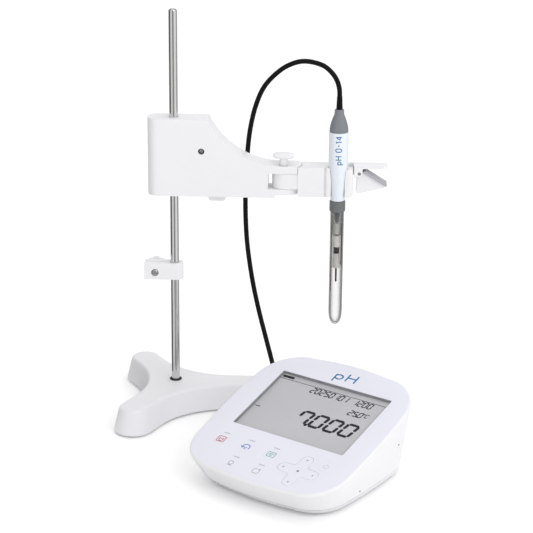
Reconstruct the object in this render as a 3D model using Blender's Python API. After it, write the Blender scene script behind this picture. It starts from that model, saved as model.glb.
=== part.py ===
"""Bench pH meter with its electrode stand, arm, electrode and cable.

Metres, +Z up, table top at z = 0, origin under the middle of the whole set.
Run with: blender --background --python part.py
"""

import math

import bmesh
import bpy
from mathutils import Matrix, Vector

for old in list(bpy.data.objects):
    bpy.data.objects.remove(old)

MM = 0.001
GAP = 0.3 * MM  # left between pieces that meet
OVERSHOOT = 2 * MM  # how far a cutter runs past the wall it cuts

# Where the two free-standing units are on the table
ROD_AT = (-83.97 * MM, 89.62 * MM)  # rod's axis, from the middle of the set
METER_FROM_ROD = (125.5 * MM, -157.5 * MM)
METER_TURN = -34.0  # degrees about the vertical

# Stand base: three legs with hollow-curved sides
BASE_TOP = 25.0 * MM
BASE_BOTTOM = 1.6 * MM
LEGS = ((0.0, 74.0 * MM), (121.3, 68.0 * MM), (243.9, 77.0 * MM))  # heading in degrees, reach from the rod
LEG_END_RADIUS = 13.2 * MM  # at the top face
WAIST_RADIUS = 80.0 * MM  # of the hollow curve between two legs, at the top face
SIDE_FLARE = 5.4 * MM  # how much wider the base is at its foot
BASE_WALL = 3.0 * MM
WEIGHT_TOP = 11.5 * MM
WEIGHT_BOTTOM = 3.0 * MM
FOOT_RADIUS = 8.0 * MM

# Rod
ROD_RADIUS = 4.0 * MM
ROD_TOP = 389.0 * MM
ROD_BOTTOM = 8.0 * MM
COLLAR_RADIUS = 5.6 * MM
COLLAR_HEIGHT = 1.2 * MM
SCREW_RADIUS = 2.4 * MM
SCREW_HEAD_RADIUS = 5.0 * MM
SCREW_HEAD = 2.0 * MM
SCREW_LENGTH = 14.0 * MM

# Stopper that sets how low the arm may go
STOPPER_LOW = 129.3 * MM
STOPPER_HIGH = 145.7 * MM
STOPPER_DEPTH = 13.0 * MM
STOPPER_LEFT = 28.8 * MM
STOPPER_RIGHT = 8.2 * MM
STOPPER_SCREW_X = -18.6 * MM
STOPPER_SCREW_RADIUS = 2.9 * MM
STOPPER_SLIT = 1.6 * MM
KNOB_RADIUS = 10.6 * MM
KNOB_THICK = 9.0 * MM
KNOB_LOBES = 8

# Arm housing
ARM_DEPTH = 22.0 * MM
ARM_LOW = 214.0 * MM
ARM_HIGH = 288.0 * MM
ARM_LEFT = 24.3 * MM
ARM_CURVE_RADIUS = 74.0 * MM
ARM_CURVE_X = 100.0 * MM
ARM_END_ROUND = 10.0 * MM
ARM_WALL = 2.5 * MM
ARM_SOLID_FROM = 84.0 * MM  # the fork's root starts here
COVER_THICK = 2.0 * MM
BUSH_RADIUS = 6.4 * MM
BUSH_LENGTH = 10.0 * MM
BUSH_LIP = 2.4 * MM  # of housing left beyond each bush

# Fork at the arm's end, and the upright axis the holder swings on
PIVOT_X = 102.5 * MM
FORK_TOP = 244.7 * MM
FORK_BOTTOM = 216.5 * MM
FORK_SLOT_LOW = 222.3 * MM
FORK_SLOT_HIGH = 237.4 * MM
FORK_SLOT_FROM = 88.5 * MM
FORK_END_RADIUS = 17.0 * MM
LOWER_FORK_ROOT = 6.5 * MM  # from the slot's root to where the lower fork is thinned
LOWER_FORK_SHORT = 0.4 * MM  # how much shorter the lower fork is
NUT_POCKET_RADIUS = 5.6 * MM
NUT_POCKET = 2.6 * MM
PIVOT_RADIUS = 3.0 * MM
DISH_RADIUS = 11.0 * MM
DISH_DEPTH = 2.6 * MM
WING_SPAN = 20.0 * MM
WING_WIDTH = 13.0 * MM
WING_LOW = 249.6 * MM
WING_HIGH = 255.0 * MM

# Release lever, under the arm
LEVER_PIN_AT = (26.3 * MM, 257.5 * MM)  # x and z
LEVER_PIN_RADIUS = 1.8 * MM
LEVER_HUB_RADIUS = 5.0 * MM
LEVER_THICK = 7.0 * MM
TAB_LOW = 208.0 * MM
SIGHT_HOLE_RADIUS = 3.0 * MM
LOCK_HINGE_X = -12.0 * MM
LOCK_Z = 246.0 * MM
LOCK_THICK = 2.0 * MM
LOCK_LENGTH = 27.0 * MM
LOCK_WIDTH = 13.0 * MM
LOCK_TILT = 3.7  # degrees, at rest
LOCK_SPRING_X = 11.5 * MM
LOCK_SPRING_RADIUS = 2.9 * MM
SPRING_WIRE = 0.5 * MM  # radius

# Electrode holder
HOLDER_LOW = 215.6 * MM
HOLDER_HIGH = 243.8 * MM
HOLDER_RIGHT = 167.6 * MM
TONGUE_END_RADIUS = 9.0 * MM
TONGUE_HALF_WIDTH = 10.4 * MM
JAW_PIN_AT = (165.0 * MM, 1.6 * MM)
JAW_PIN_RADIUS = 1.1 * MM
JAW_HUB_RADIUS = 2.8 * MM
JAW_SPLIT_Y = -2.2 * MM
KNUCKLE_LOW = 223.0 * MM
KNUCKLE_HIGH = 236.5 * MM
PADDLE_END = 199.5 * MM
PADDLE_HALF_WIDTH = 7.0 * MM
PADDLE_LOW = 242.6 * MM
PADDLE_HIGH = 245.2 * MM
CLAMP_PIN_AT = (173.4 * MM, 237.6 * MM)  # x and z
CLAMP_PIN_RADIUS = 1.2 * MM
CLAMP_HUB_RADIUS = 2.9 * MM
CLAMP_LUG = 2.2 * MM

# Electrode
ELECTRODE_AT = (153.6 * MM, -6.0 * MM)
CAP_RADIUS = 9.1 * MM
CAP_TOP = 277.8 * MM
CAP_SHOULDER = 247.0 * MM
CAP_BOTTOM = 214.7 * MM
CAP_BOTTOM_RADIUS = 6.4 * MM
CONE_TOP = 299.0 * MM
CONE_TOP_RADIUS = 4.4 * MM
COLLAR_LOW = 201.5 * MM
COLLAR_HIGH = 211.9 * MM
SLEEVE_RADIUS = 7.5 * MM
STEM_RADIUS = 6.4 * MM
STEM_WALL = 0.9 * MM
STEM_TIP = 88.3 * MM
INNER_TUBE_RADIUS = 3.4 * MM
SEAT_CLEARANCE = 0.4 * MM

# Cable
CABLE_RADIUS = 2.3 * MM
BOOT_TOP = 311.0 * MM
CLIP_HEIGHT = 7.0 * MM
CABLE_CLEAR = 4.4 * MM  # from the arm's back to the cable's middle
COIL_AT = (130.5 * MM, -19.5 * MM)
COIL_RADIUS = 23.2 * MM  # to the middle of the cable
COIL_HEIGHT = 19.8 * MM

# Meter casing, in its own frame: x to its right, y to its back
CASE_HALF_WIDTH = 81.2 * MM
CASE_HALF_DEPTH = 80.2 * MM
CASE_FRONT_CORNER = 35.0 * MM
CASE_BACK_CORNER = 41.0 * MM
CASE_SIDE_BULGE = 1.4 * MM
CASE_END_BULGE = 3.3 * MM
CASE_SIDE_TAPER = 11.5 * MM
CASE_FRONT_TAPER = 14.5 * MM
CASE_RIM = 2.6 * MM
CASE_WALL = 2.5 * MM
CASE_SEAM = 8.5 * MM
CASE_FLOOR = 2.6 * MM
PANEL_HEIGHT = 52.6 * MM  # at the middle of the casing
PANEL_SLOPE = 17.2  # degrees
LCD_WIDTH = 118.0 * MM
LCD_LOW = -25.4 * MM
LCD_HIGH = 56.3 * MM
LCD_SHIFT = 0.8 * MM
WINDOW_THICK = 1.4 * MM
KEY_RADIUS = 7.2 * MM
KEY_THICK = 1.6 * MM
KEY_TRAVEL = 0.5 * MM
ICON_KEYS = {
    "key_red": (-53.6 * MM, -49.4 * MM),
    "key_blue": (-26.0 * MM, -49.4 * MM),
    "key_green": (1.0 * MM, -49.4 * MM),
    "key_grey_left": (-26.0 * MM, -73.2 * MM),
    "key_grey_right": (1.0 * MM, -73.2 * MM),
    "key_power": (54.8 * MM, -43.8 * MM),
}
PAD_AT = (35.3 * MM, -58.4 * MM)
PAD_REACH = 20.0 * MM
PAD_HALF_WIDTH = 5.6 * MM
PAD_CENTRE_RADIUS = 4.2 * MM
REAR_PANEL = (104.0 * MM, 24.0 * MM)  # width and height
REAR_PANEL_Z = 24.0 * MM
REAR_RECESS_Y = 76.0 * MM
SOCKET_X = 6.0 * MM
SOCKET_RADIUS = 6.2 * MM
JACK_X = 30.0 * MM
JACK_RADIUS = 4.0 * MM
PLUG_RADIUS = 7.2 * MM
PLUG_LENGTH = 20.0 * MM

ROUND = 28  # sides of a round piece
SMALL_ROUND = 16  # sides of a small one


def finish(name, colour, roughness, metallic=0.0, alpha=1.0):
    """A Principled material."""
    made = bpy.data.materials.new(name)
    made.use_nodes = True
    shader = made.node_tree.nodes["Principled BSDF"]
    shader.inputs["Base Color"].default_value = (*colour, 1.0)
    shader.inputs["Roughness"].default_value = roughness
    shader.inputs["Metallic"].default_value = metallic
    shader.inputs["Alpha"].default_value = alpha
    return made


WHITE = finish("white_plastic", (0.86, 0.86, 0.88), 0.4)
PALE = finish("pale_plastic", (0.78, 0.79, 0.84), 0.4)
PANEL = finish("panel_plastic", (0.8, 0.8, 0.88), 0.45)
GREY = finish("grey_plastic", (0.22, 0.23, 0.25), 0.45)
DARK = finish("dark_plastic", (0.04, 0.04, 0.045), 0.5)
STEEL = finish("steel", (0.55, 0.56, 0.58), 0.25, metallic=1.0)
RUBBER = finish("rubber", (0.02, 0.02, 0.02), 0.7)
GLASS = finish("glass", (0.9, 0.93, 0.93), 0.05, alpha=0.3)
FROSTED = finish("frosted_sleeve", (0.35, 0.36, 0.34), 0.3, alpha=0.8)
DISPLAY = finish("display", (0.5, 0.5, 0.52), 0.3)
BOARD = finish("circuit_board", (0.05, 0.2, 0.08), 0.5)
BRASS = finish("brass", (0.6, 0.45, 0.2), 0.3, metallic=1.0)


def pivot(name, at, parent=None, turn=(0.0, 0.0, 0.0)):
    """An empty that carries pieces, at a joint's axis or at a unit's own origin."""
    carrier = bpy.data.objects.new(name, None)
    bpy.context.scene.collection.objects.link(carrier)
    carrier.parent = parent
    carrier.location = at
    carrier.rotation_euler = [math.radians(angle) for angle in turn]
    bpy.context.view_layer.update()
    return carrier


def add(name, mesh_builder, material, carrier, frame=None):
    """An object from a bmesh whose points are in frame's space, carried by an empty."""
    mesh = bpy.data.meshes.new(name)
    bmesh.ops.recalc_face_normals(mesh_builder, faces=mesh_builder.faces)
    mesh_builder.to_mesh(mesh)
    mesh_builder.free()
    mesh.materials.append(material)
    mesh.shade_smooth()
    mesh.set_sharp_from_angle(angle=math.radians(35))
    made = bpy.data.objects.new(name, mesh)
    bpy.context.scene.collection.objects.link(made)
    made.parent = carrier
    if frame is not None:
        made.matrix_local = carrier.matrix_world.inverted() @ frame.matrix_world
    return made


def arc(middle, radius, start, end, steps):
    """Points of an arc, with angles in degrees."""
    points = []
    for step in range(steps + 1):
        angle = math.radians(start + (end - start) * step / steps)
        points.append((middle[0] + radius * math.cos(angle), middle[1] + radius * math.sin(angle)))
    return points


def lofted(rings):
    """A closed body through rings that hold the same number of points."""
    body = bmesh.new()
    rows = [[body.verts.new(point) for point in ring] for ring in rings]
    count = len(rows[0])
    for low, high in zip(rows, rows[1:]):
        for i in range(count):
            j = (i + 1) % count
            body.faces.new((low[i], low[j], high[j], high[i]))
    body.faces.new(rows[0][::-1])
    body.faces.new(rows[-1])
    return body


def prism(outline, low, high):
    """An outline in XY, from z = low to z = high."""
    return lofted([[(x, y, z) for x, y in outline] for z in (low, high)])


def side_prism(outline, near, far):
    """An outline in XZ, from y = near to y = far."""
    return lofted([[(x, y, z) for x, z in outline] for y in (near, far)])


def box(low, high):
    """A block between two corners."""
    outline = [(low[0], low[1]), (high[0], low[1]), (high[0], high[1]), (low[0], high[1])]
    return prism(outline, low[2], high[2])


def turned(profile, steps=ROUND, axis="Z", at=(0.0, 0.0, 0.0), hollow=False):
    """A body of revolution. profile is (radius, height) points; a hollow one is a closed loop."""
    body = bmesh.new()
    rows = []
    for radius, height in profile:
        if radius == 0:
            rows.append([body.verts.new((0, 0, height))] * steps)
            continue
        row = []
        for step in range(steps):
            angle = 2 * math.pi * step / steps
            row.append(body.verts.new((radius * math.cos(angle), radius * math.sin(angle), height)))
        rows.append(row)
    pairs = list(zip(rows, rows[1:]))
    if hollow:
        pairs.append((rows[-1], rows[0]))
    for low, high in pairs:
        for i in range(steps):
            j = (i + 1) % steps
            corners = []
            for corner in (low[i], low[j], high[j], high[i]):
                if corner not in corners:
                    corners.append(corner)
            body.faces.new(corners)
    if not hollow:
        for row in (rows[0], rows[-1]):
            if row[0] is not row[1]:
                body.faces.new(row)
    turn = {"Z": Matrix(), "Y": Matrix.Rotation(math.radians(-90), 4, "X"),
            "X": Matrix.Rotation(math.radians(90), 4, "Y")}[axis]
    body.transform(Matrix.Translation(at) @ turn)
    return body


def cylinder(radius, low, high, steps=ROUND, axis="Z", at=(0.0, 0.0, 0.0)):
    return turned([(radius, low), (radius, high)], steps, axis, at)


def tube(outer, inner, low, high, steps=ROUND, axis="Z", at=(0.0, 0.0, 0.0)):
    profile = [(inner, low), (outer, low), (outer, high), (inner, high)]
    return turned(profile, steps, axis, at, hollow=True)


def merged(*bodies):
    """Several bodies in one bmesh, for a cutter."""
    whole = bodies[0]
    for body in bodies[1:]:
        loose = bpy.data.meshes.new("loose")
        body.to_mesh(loose)
        body.free()
        whole.from_mesh(loose)
        bpy.data.meshes.remove(loose)
    return whole


def shape(target, operation, body):
    """Cuts a body from target, or joins or intersects it, in target's own space."""
    tool = add(f"{target.name}_{operation.lower()}_{len(target.modifiers)}", body, WHITE, target)
    tool.hide_render = True
    tool.display_type = "WIRE"
    step = target.modifiers.new(tool.name, "BOOLEAN")
    step.operation = operation
    step.solver = "EXACT"
    step.object = tool


def cut(target, body):
    shape(target, "DIFFERENCE", body)


def join(target, body):
    shape(target, "UNION", body)


def keep_within(target, body):
    shape(target, "INTERSECT", body)


def spring(radius, wire, low, high, turns, axis="Z", at=(0.0, 0.0, 0.0), per_turn=12, sides=6):
    """A coil spring as one swept tube."""
    count = int(turns * per_turn)
    turn = Matrix() if axis == "Z" else Matrix.Rotation(math.radians(-90), 4, "X")
    rings = []
    for step in range(count + 1):
        angle = 2 * math.pi * step / per_turn
        out = Vector((math.cos(angle), math.sin(angle), 0))
        middle = out * radius + Vector((0, 0, low + (high - low) * step / count))
        rings.append([
            Matrix.Translation(at) @ turn @ (middle + out * wire * math.cos(a) + Vector((0, 0, wire * math.sin(a))))
            for a in (2 * math.pi * side / sides for side in range(sides))
        ])
    return lofted(rings)


# ---------------------------------------------------------------- carriers
STAND = pivot("stand_place", (*ROD_AT, 0))
STOPPER_SLIDE = pivot("stopper_slide", (0, 0, STOPPER_LOW), STAND)
STOPPER_TURN = pivot(
    "stopper_knob_turn", (STOPPER_SCREW_X, 0, (STOPPER_HIGH - STOPPER_LOW) / 2 - 1.3 * MM), STOPPER_SLIDE
)
CARRIAGE = pivot("arm_lift", (0, 0, ARM_LOW), STAND)
ARM = pivot("arm_swivel", (0, 0, 0), CARRIAGE)
LEVER = pivot("release_lever_hinge", (LEVER_PIN_AT[0], 0, LEVER_PIN_AT[1] - ARM_LOW), ARM)
LOCK = pivot("lock_plate_hinge", (LOCK_HINGE_X, 0, LOCK_Z - ARM_LOW), ARM)
WING = pivot("pivot_screw_turn", (PIVOT_X, 0, FORK_TOP - ARM_LOW), ARM)
HOLDER = pivot("holder_swivel", (PIVOT_X, 0, 0), ARM)
JAW = pivot("jaw_hinge", (JAW_PIN_AT[0] - PIVOT_X, JAW_PIN_AT[1], HOLDER_LOW - ARM_LOW), HOLDER)
CLAMP = pivot("clamp_hinge", (CLAMP_PIN_AT[0] - PIVOT_X, 0, CLAMP_PIN_AT[1] - ARM_LOW), HOLDER)
ELECTRODE = pivot(
    "electrode_lift", (ELECTRODE_AT[0] - PIVOT_X, ELECTRODE_AT[1], CAP_BOTTOM - ARM_LOW), HOLDER
)
METER = pivot("meter_place", (ROD_AT[0] + METER_FROM_ROD[0], ROD_AT[1] + METER_FROM_ROD[1], 0),
              turn=(0, 0, METER_TURN))
FACE = pivot("panel_place", (0, 0, PANEL_HEIGHT), METER, turn=(PANEL_SLOPE, 0, 0))


# ---------------------------------------------------------------- stand
def leg_outline(widen, arc_steps=8, waist_steps=7):
    """The base's plan: three round leg ends joined by hollow curves, widened evenly."""
    points = []
    for number, (heading, reach) in enumerate(LEGS):
        angle = math.radians(heading)
        middle = (reach * math.cos(angle), reach * math.sin(angle))
        points += arc(middle, LEG_END_RADIUS + widen, heading - 90, heading + 90, arc_steps)
        # the hollow curve's middle stands halfway between two legs, and the curve touches both legs' sides
        following = LEGS[(number + 1) % len(LEGS)][0]
        opening = (following - heading) % 360
        away = (LEG_END_RADIUS + WAIST_RADIUS) / math.sin(math.radians(opening / 2))
        between = math.radians(heading + opening / 2)
        hub = (away * math.cos(between), away * math.sin(between))
        points += arc(hub, WAIST_RADIUS - widen, heading + 270, heading + opening + 90, waist_steps)
    return points


def base_rings(profile):
    return [[(x, y, z) for x, y in leg_outline(widen)] for widen, z in profile]


base = add("stand_base", lofted(base_rings([
    (SIDE_FLARE, BASE_BOTTOM),
    (SIDE_FLARE * 0.16, BASE_TOP - 3.6 * MM),
    (SIDE_FLARE * 0.04, BASE_TOP - 1.2 * MM),
    (-1.6 * MM, BASE_TOP),
])), PALE, STAND)
pocket_widen = SIDE_FLARE - 2 * BASE_WALL
cut(base, lofted(base_rings([
    (pocket_widen, BASE_BOTTOM - OVERSHOOT),
    (pocket_widen, WEIGHT_TOP + GAP),
])))
cut(base, cylinder(ROD_RADIUS + GAP, BASE_BOTTOM, BASE_TOP + OVERSHOOT))

weight = add("base_weight", lofted(base_rings([
    (pocket_widen - GAP, WEIGHT_BOTTOM),
    (pocket_widen - GAP, WEIGHT_TOP),
])), STEEL, STAND)
cut(weight, cylinder(ROD_RADIUS + GAP, ROD_BOTTOM - GAP, WEIGHT_TOP + OVERSHOOT))
cut(weight, cylinder(SCREW_RADIUS + GAP, WEIGHT_BOTTOM - OVERSHOOT, ROD_BOTTOM + OVERSHOOT, SMALL_ROUND))
cut(weight, cylinder(SCREW_HEAD_RADIUS + GAP, WEIGHT_BOTTOM - OVERSHOOT, WEIGHT_BOTTOM + SCREW_HEAD + GAP))

for leg, (heading, reach) in enumerate(LEGS):
    angle = math.radians(heading)
    at = (reach * math.cos(angle), reach * math.sin(angle), 0)
    foot = [(0, 0), (FOOT_RADIUS - 0.8 * MM, 0), (FOOT_RADIUS, 0.8 * MM), (FOOT_RADIUS, WEIGHT_BOTTOM - GAP),
            (0, WEIGHT_BOTTOM - GAP)]
    add(f"base_foot_{leg + 1}", turned(foot, 20, at=at), RUBBER, STAND)

rod = add("stand_rod", turned([
    (0, ROD_BOTTOM), (ROD_RADIUS, ROD_BOTTOM), (ROD_RADIUS, ROD_TOP - 2.2 * MM),
    (ROD_RADIUS * 0.82, ROD_TOP - 0.9 * MM), (ROD_RADIUS * 0.45, ROD_TOP - 0.2 * MM), (0, ROD_TOP),
], 24), STEEL, STAND)
cut(rod, cylinder(SCREW_RADIUS + GAP, ROD_BOTTOM - OVERSHOOT, ROD_BOTTOM + SCREW_LENGTH, SMALL_ROUND))

head_low = WEIGHT_BOTTOM + 0.2 * MM
add("rod_screw", turned([
    (0, head_low), (SCREW_HEAD_RADIUS, head_low), (SCREW_HEAD_RADIUS, head_low + SCREW_HEAD - GAP),
    (SCREW_RADIUS, head_low + SCREW_HEAD - GAP), (SCREW_RADIUS, ROD_BOTTOM + SCREW_LENGTH - OVERSHOOT),
    (0, ROD_BOTTOM + SCREW_LENGTH - OVERSHOOT),
], SMALL_ROUND), STEEL, STAND)

add("rod_collar", turned([
    (ROD_RADIUS + GAP, BASE_TOP + GAP), (COLLAR_RADIUS, BASE_TOP + GAP),
    (COLLAR_RADIUS - 0.4 * MM, BASE_TOP + COLLAR_HEIGHT), (ROD_RADIUS + GAP, BASE_TOP + COLLAR_HEIGHT),
], 24, hollow=True), DARK, STAND)

# ---------------------------------------------------------------- stopper
half = STOPPER_DEPTH / 2
stopper_plan = [(-STOPPER_LEFT, half), (-STOPPER_LEFT, -half)]
stopper_plan += arc((STOPPER_RIGHT - half, 0), half, -90, 90, 8)
stopper = add("stopper_block", prism(stopper_plan, STOPPER_LOW, STOPPER_HIGH), WHITE, STOPPER_SLIDE, STAND)
screw_z = (STOPPER_LOW + STOPPER_HIGH) / 2 - 1.3 * MM
cut(stopper, cylinder(ROD_RADIUS + GAP, STOPPER_LOW - OVERSHOOT, STOPPER_HIGH + OVERSHOOT, 24))
cut(stopper, box((-STOPPER_LEFT - OVERSHOOT, -STOPPER_SLIT / 2, STOPPER_LOW - OVERSHOOT),
                 (0, STOPPER_SLIT / 2, STOPPER_HIGH + OVERSHOOT)))
cut(stopper, cylinder(STOPPER_SCREW_RADIUS + GAP, -half - OVERSHOOT, half + OVERSHOOT, SMALL_ROUND, "Y",
                      (STOPPER_SCREW_X, 0, screw_z)))
bevel = stopper.modifiers.new("rounding", "BEVEL")
bevel.width = 0.8 * MM
bevel.segments = 2
bevel.limit_method = "ANGLE"
bevel.angle_limit = math.radians(50)

add("stopper_screw", turned([
    (0, -half - 0.6 * MM), (STOPPER_SCREW_RADIUS - 0.5 * MM, -half - 0.6 * MM),
    (STOPPER_SCREW_RADIUS, -half - 0.1 * MM), (STOPPER_SCREW_RADIUS, half + KNOB_THICK - 2 * MM),
    (0, half + KNOB_THICK - 2 * MM),
], SMALL_ROUND, "Y", (STOPPER_SCREW_X, 0, screw_z)), STEEL, STOPPER_TURN, STAND)


def knob_outline(radius):
    """A lobed grip, seen along its axis."""
    points = []
    for step in range(KNOB_LOBES * 6):
        angle = 2 * math.pi * step / (KNOB_LOBES * 6)
        reach = radius * (0.95 + 0.05 * math.cos(KNOB_LOBES * angle))
        points.append((STOPPER_SCREW_X + reach * math.cos(angle), screw_z + reach * math.sin(angle)))
    return points


knob_from = half + GAP
knob = add("stopper_knob", lofted([
    [(x, y, z) for x, z in knob_outline(radius)]
    for radius, y in (
        (KNOB_RADIUS * 0.72, knob_from), (KNOB_RADIUS * 0.76, knob_from + 1.5 * MM),
        (KNOB_RADIUS, knob_from + 2.4 * MM), (KNOB_RADIUS, knob_from + KNOB_THICK - 1.6 * MM),
        (KNOB_RADIUS * 0.86, knob_from + KNOB_THICK),
    )
]), WHITE, STOPPER_TURN, STAND)
cut(knob, cylinder(STOPPER_SCREW_RADIUS + GAP, half - OVERSHOOT, half + KNOB_THICK - 1.6 * MM, SMALL_ROUND, "Y",
                   (STOPPER_SCREW_X, 0, screw_z)))


# ---------------------------------------------------------------- arm
def arm_side(shrink=0.0, right=None, left=None):
    """The arm's outline from the front: level top, hollow curve, then the fork. shrink draws it in."""
    left = -ARM_LEFT + shrink if left is None else left
    low = ARM_LOW + shrink
    high = ARM_HIGH - shrink
    middle = (ARM_CURVE_X, FORK_TOP + ARM_CURVE_RADIUS)
    radius = ARM_CURVE_RADIUS + shrink
    end = PIVOT_X + FORK_END_RADIUS if right is None else right
    start = 180 + math.degrees(math.asin((middle[1] - high) / radius))
    stop = 270 if right is None else 180 + math.degrees(math.acos((middle[0] - right) / radius))
    points = [(left, low), (end, low)]
    if right is None:
        points.append((end, FORK_TOP))
    points += arc(middle, radius, stop, start, 14)
    points.append((left, high))
    return points


half = ARM_DEPTH / 2
arm = add("arm_housing", side_prism(arm_side(), -half - OVERSHOOT, half + OVERSHOOT), WHITE, ARM, STAND)
fork_angle = math.degrees(math.asin(half / FORK_END_RADIUS))
plan = arc((PIVOT_X, 0), FORK_END_RADIUS, -fork_angle, fork_angle, 8)
round_x = -ARM_LEFT + ARM_END_ROUND
plan += arc((round_x, half - ARM_END_ROUND), ARM_END_ROUND, 90, 180, 7)
plan += arc((round_x, -half + ARM_END_ROUND), ARM_END_ROUND, 180, 270, 7)
keep_within(arm, prism(plan, ARM_LOW - OVERSHOOT, ARM_HIGH + OVERSHOOT))
# the hollow keeps an even wall round the end, and is open at the back where the cover goes
end_plan = [(round_x + OVERSHOOT, -half + ARM_WALL), (round_x + OVERSHOOT, half - ARM_WALL)]
end_plan += arc((round_x, half - ARM_END_ROUND), ARM_END_ROUND - ARM_WALL, 90, 180, 7)
end_plan += arc((round_x, -half + ARM_END_ROUND), ARM_END_ROUND - ARM_WALL, 180, 270, 7)
cut(arm, prism(end_plan, ARM_LOW + ARM_WALL, ARM_HIGH - ARM_WALL))
cut(arm, side_prism(arm_side(ARM_WALL, ARM_SOLID_FROM, round_x), -half + ARM_WALL, half + OVERSHOOT))
bush_block = BUSH_RADIUS + 2.4 * MM
for low, high in ((ARM_LOW + 1 * MM, ARM_LOW + BUSH_LIP + BUSH_LENGTH),
                  (ARM_HIGH - BUSH_LIP - BUSH_LENGTH, ARM_HIGH - 1 * MM)):
    join(arm, box((-bush_block, -half + 1 * MM, low), (bush_block, half - COVER_THICK - 1.2 * MM, high)))
join(arm, box((8 * MM, -half + 1 * MM, LOCK_Z + 16 * MM), (18 * MM, 5.5 * MM, LOCK_Z + 18 * MM)))
cut(arm, merged(
    cylinder(ROD_RADIUS + 0.5 * MM, ARM_LOW - OVERSHOOT, ARM_HIGH + OVERSHOOT, 24),
    box((FORK_SLOT_FROM, -half - OVERSHOOT, FORK_SLOT_LOW),
        (PIVOT_X + FORK_END_RADIUS + OVERSHOOT, half + OVERSHOOT, FORK_SLOT_HIGH)),
))
cut(arm, merged(
    cylinder(BUSH_RADIUS + GAP, ARM_LOW + BUSH_LIP, ARM_LOW + BUSH_LIP + BUSH_LENGTH + 1 * MM),
    cylinder(BUSH_RADIUS + GAP, ARM_HIGH - BUSH_LIP - BUSH_LENGTH - 1 * MM, ARM_HIGH - BUSH_LIP),
))
cut(arm, cylinder(PIVOT_RADIUS + GAP, ARM_LOW - OVERSHOOT, FORK_TOP + OVERSHOOT, SMALL_ROUND, at=(PIVOT_X, 0, 0)))
# round end under the fork, level with the holder's foot
lower_from = FORK_SLOT_FROM + LOWER_FORK_ROOT
lower_to = PIVOT_X + FORK_END_RADIUS
under_cut = [(lower_from, half + OVERSHOOT), (lower_to + OVERSHOOT, half + OVERSHOOT),
             (lower_to + OVERSHOOT, -half - OVERSHOOT), (lower_from, -half - OVERSHOOT)]
for x, y in arc((0, 0), 1.0, -90, 90, 14):
    under_cut.append((lower_from + x * (lower_to - lower_from - LOWER_FORK_SHORT), y * half))
cut(arm, prism(under_cut, ARM_LOW - OVERSHOOT, FORK_SLOT_LOW + 0.5 * MM))
cut(arm, box((lower_from, -half - OVERSHOOT, ARM_LOW - OVERSHOOT),
             (lower_to + OVERSHOOT, half + OVERSHOOT, FORK_BOTTOM)))
dish_ball = (DISH_RADIUS ** 2 + DISH_DEPTH ** 2) / (2 * DISH_DEPTH)
dish = [(0, FORK_TOP - DISH_DEPTH)]
for share in (0.35, 0.7, 1.0):
    reach = DISH_RADIUS * share
    dish.append((reach, FORK_TOP - DISH_DEPTH + dish_ball - math.sqrt(dish_ball ** 2 - reach ** 2)))
dish += [(DISH_RADIUS + 0.4 * MM, FORK_TOP + OVERSHOOT), (0, FORK_TOP + OVERSHOOT)]
cut(arm, turned(dish, 24, at=(PIVOT_X, 0, 0)))
cut(arm, cylinder(SIGHT_HOLE_RADIUS, -half - OVERSHOOT, 0, SMALL_ROUND, "Y", (LEVER_PIN_AT[0], 0, LEVER_PIN_AT[1])))
cut(arm, box((22.5 * MM, -LEVER_THICK / 2 - 0.8 * MM, ARM_LOW - OVERSHOOT),
             (53.5 * MM, LEVER_THICK / 2 + 0.8 * MM, ARM_LOW + ARM_WALL + OVERSHOOT)))
cut(arm, cylinder(NUT_POCKET_RADIUS, FORK_BOTTOM - OVERSHOOT, FORK_BOTTOM + NUT_POCKET, 6, at=(PIVOT_X, 0, 0)))

cover_side = arm_side(ARM_WALL + GAP, ARM_SOLID_FROM - GAP, round_x + GAP)
cover = add("arm_cover", side_prism(cover_side, half - COVER_THICK, half), WHITE, ARM, STAND)
for name, low in (("bush_bottom", ARM_LOW + BUSH_LIP + GAP),
                  ("bush_top", ARM_HIGH - BUSH_LIP - GAP - BUSH_LENGTH)):
    add(name, tube(BUSH_RADIUS, ROD_RADIUS + GAP, low, low + BUSH_LENGTH, 24), GREY, CARRIAGE, STAND)

# lock plate, its spring and the lever that frees it
lock_turn = Matrix.Translation((LOCK_HINGE_X, 0, LOCK_Z)) @ Matrix.Rotation(math.radians(LOCK_TILT), 4, "Y")
plate = box((0, -LOCK_WIDTH / 2, -LOCK_THICK / 2), (LOCK_LENGTH, LOCK_WIDTH / 2, LOCK_THICK / 2))
plate.transform(lock_turn)
lock = add("lock_plate", plate, STEEL, LOCK, STAND)
cut(lock, cylinder(ROD_RADIUS + 0.8 * MM, LOCK_Z - 8 * MM, LOCK_Z + 8 * MM, 20))
spring_x = LOCK_SPRING_X
spring_low = LOCK_Z - (spring_x - LOCK_HINGE_X) * math.sin(math.radians(LOCK_TILT)) + LOCK_THICK / 2 + 1.4 * MM
add("lock_spring", spring(LOCK_SPRING_RADIUS, SPRING_WIRE, spring_low, LOCK_Z + 14.9 * MM, 5, at=(spring_x, 0, 0)),
    STEEL, ARM, STAND)

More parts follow.
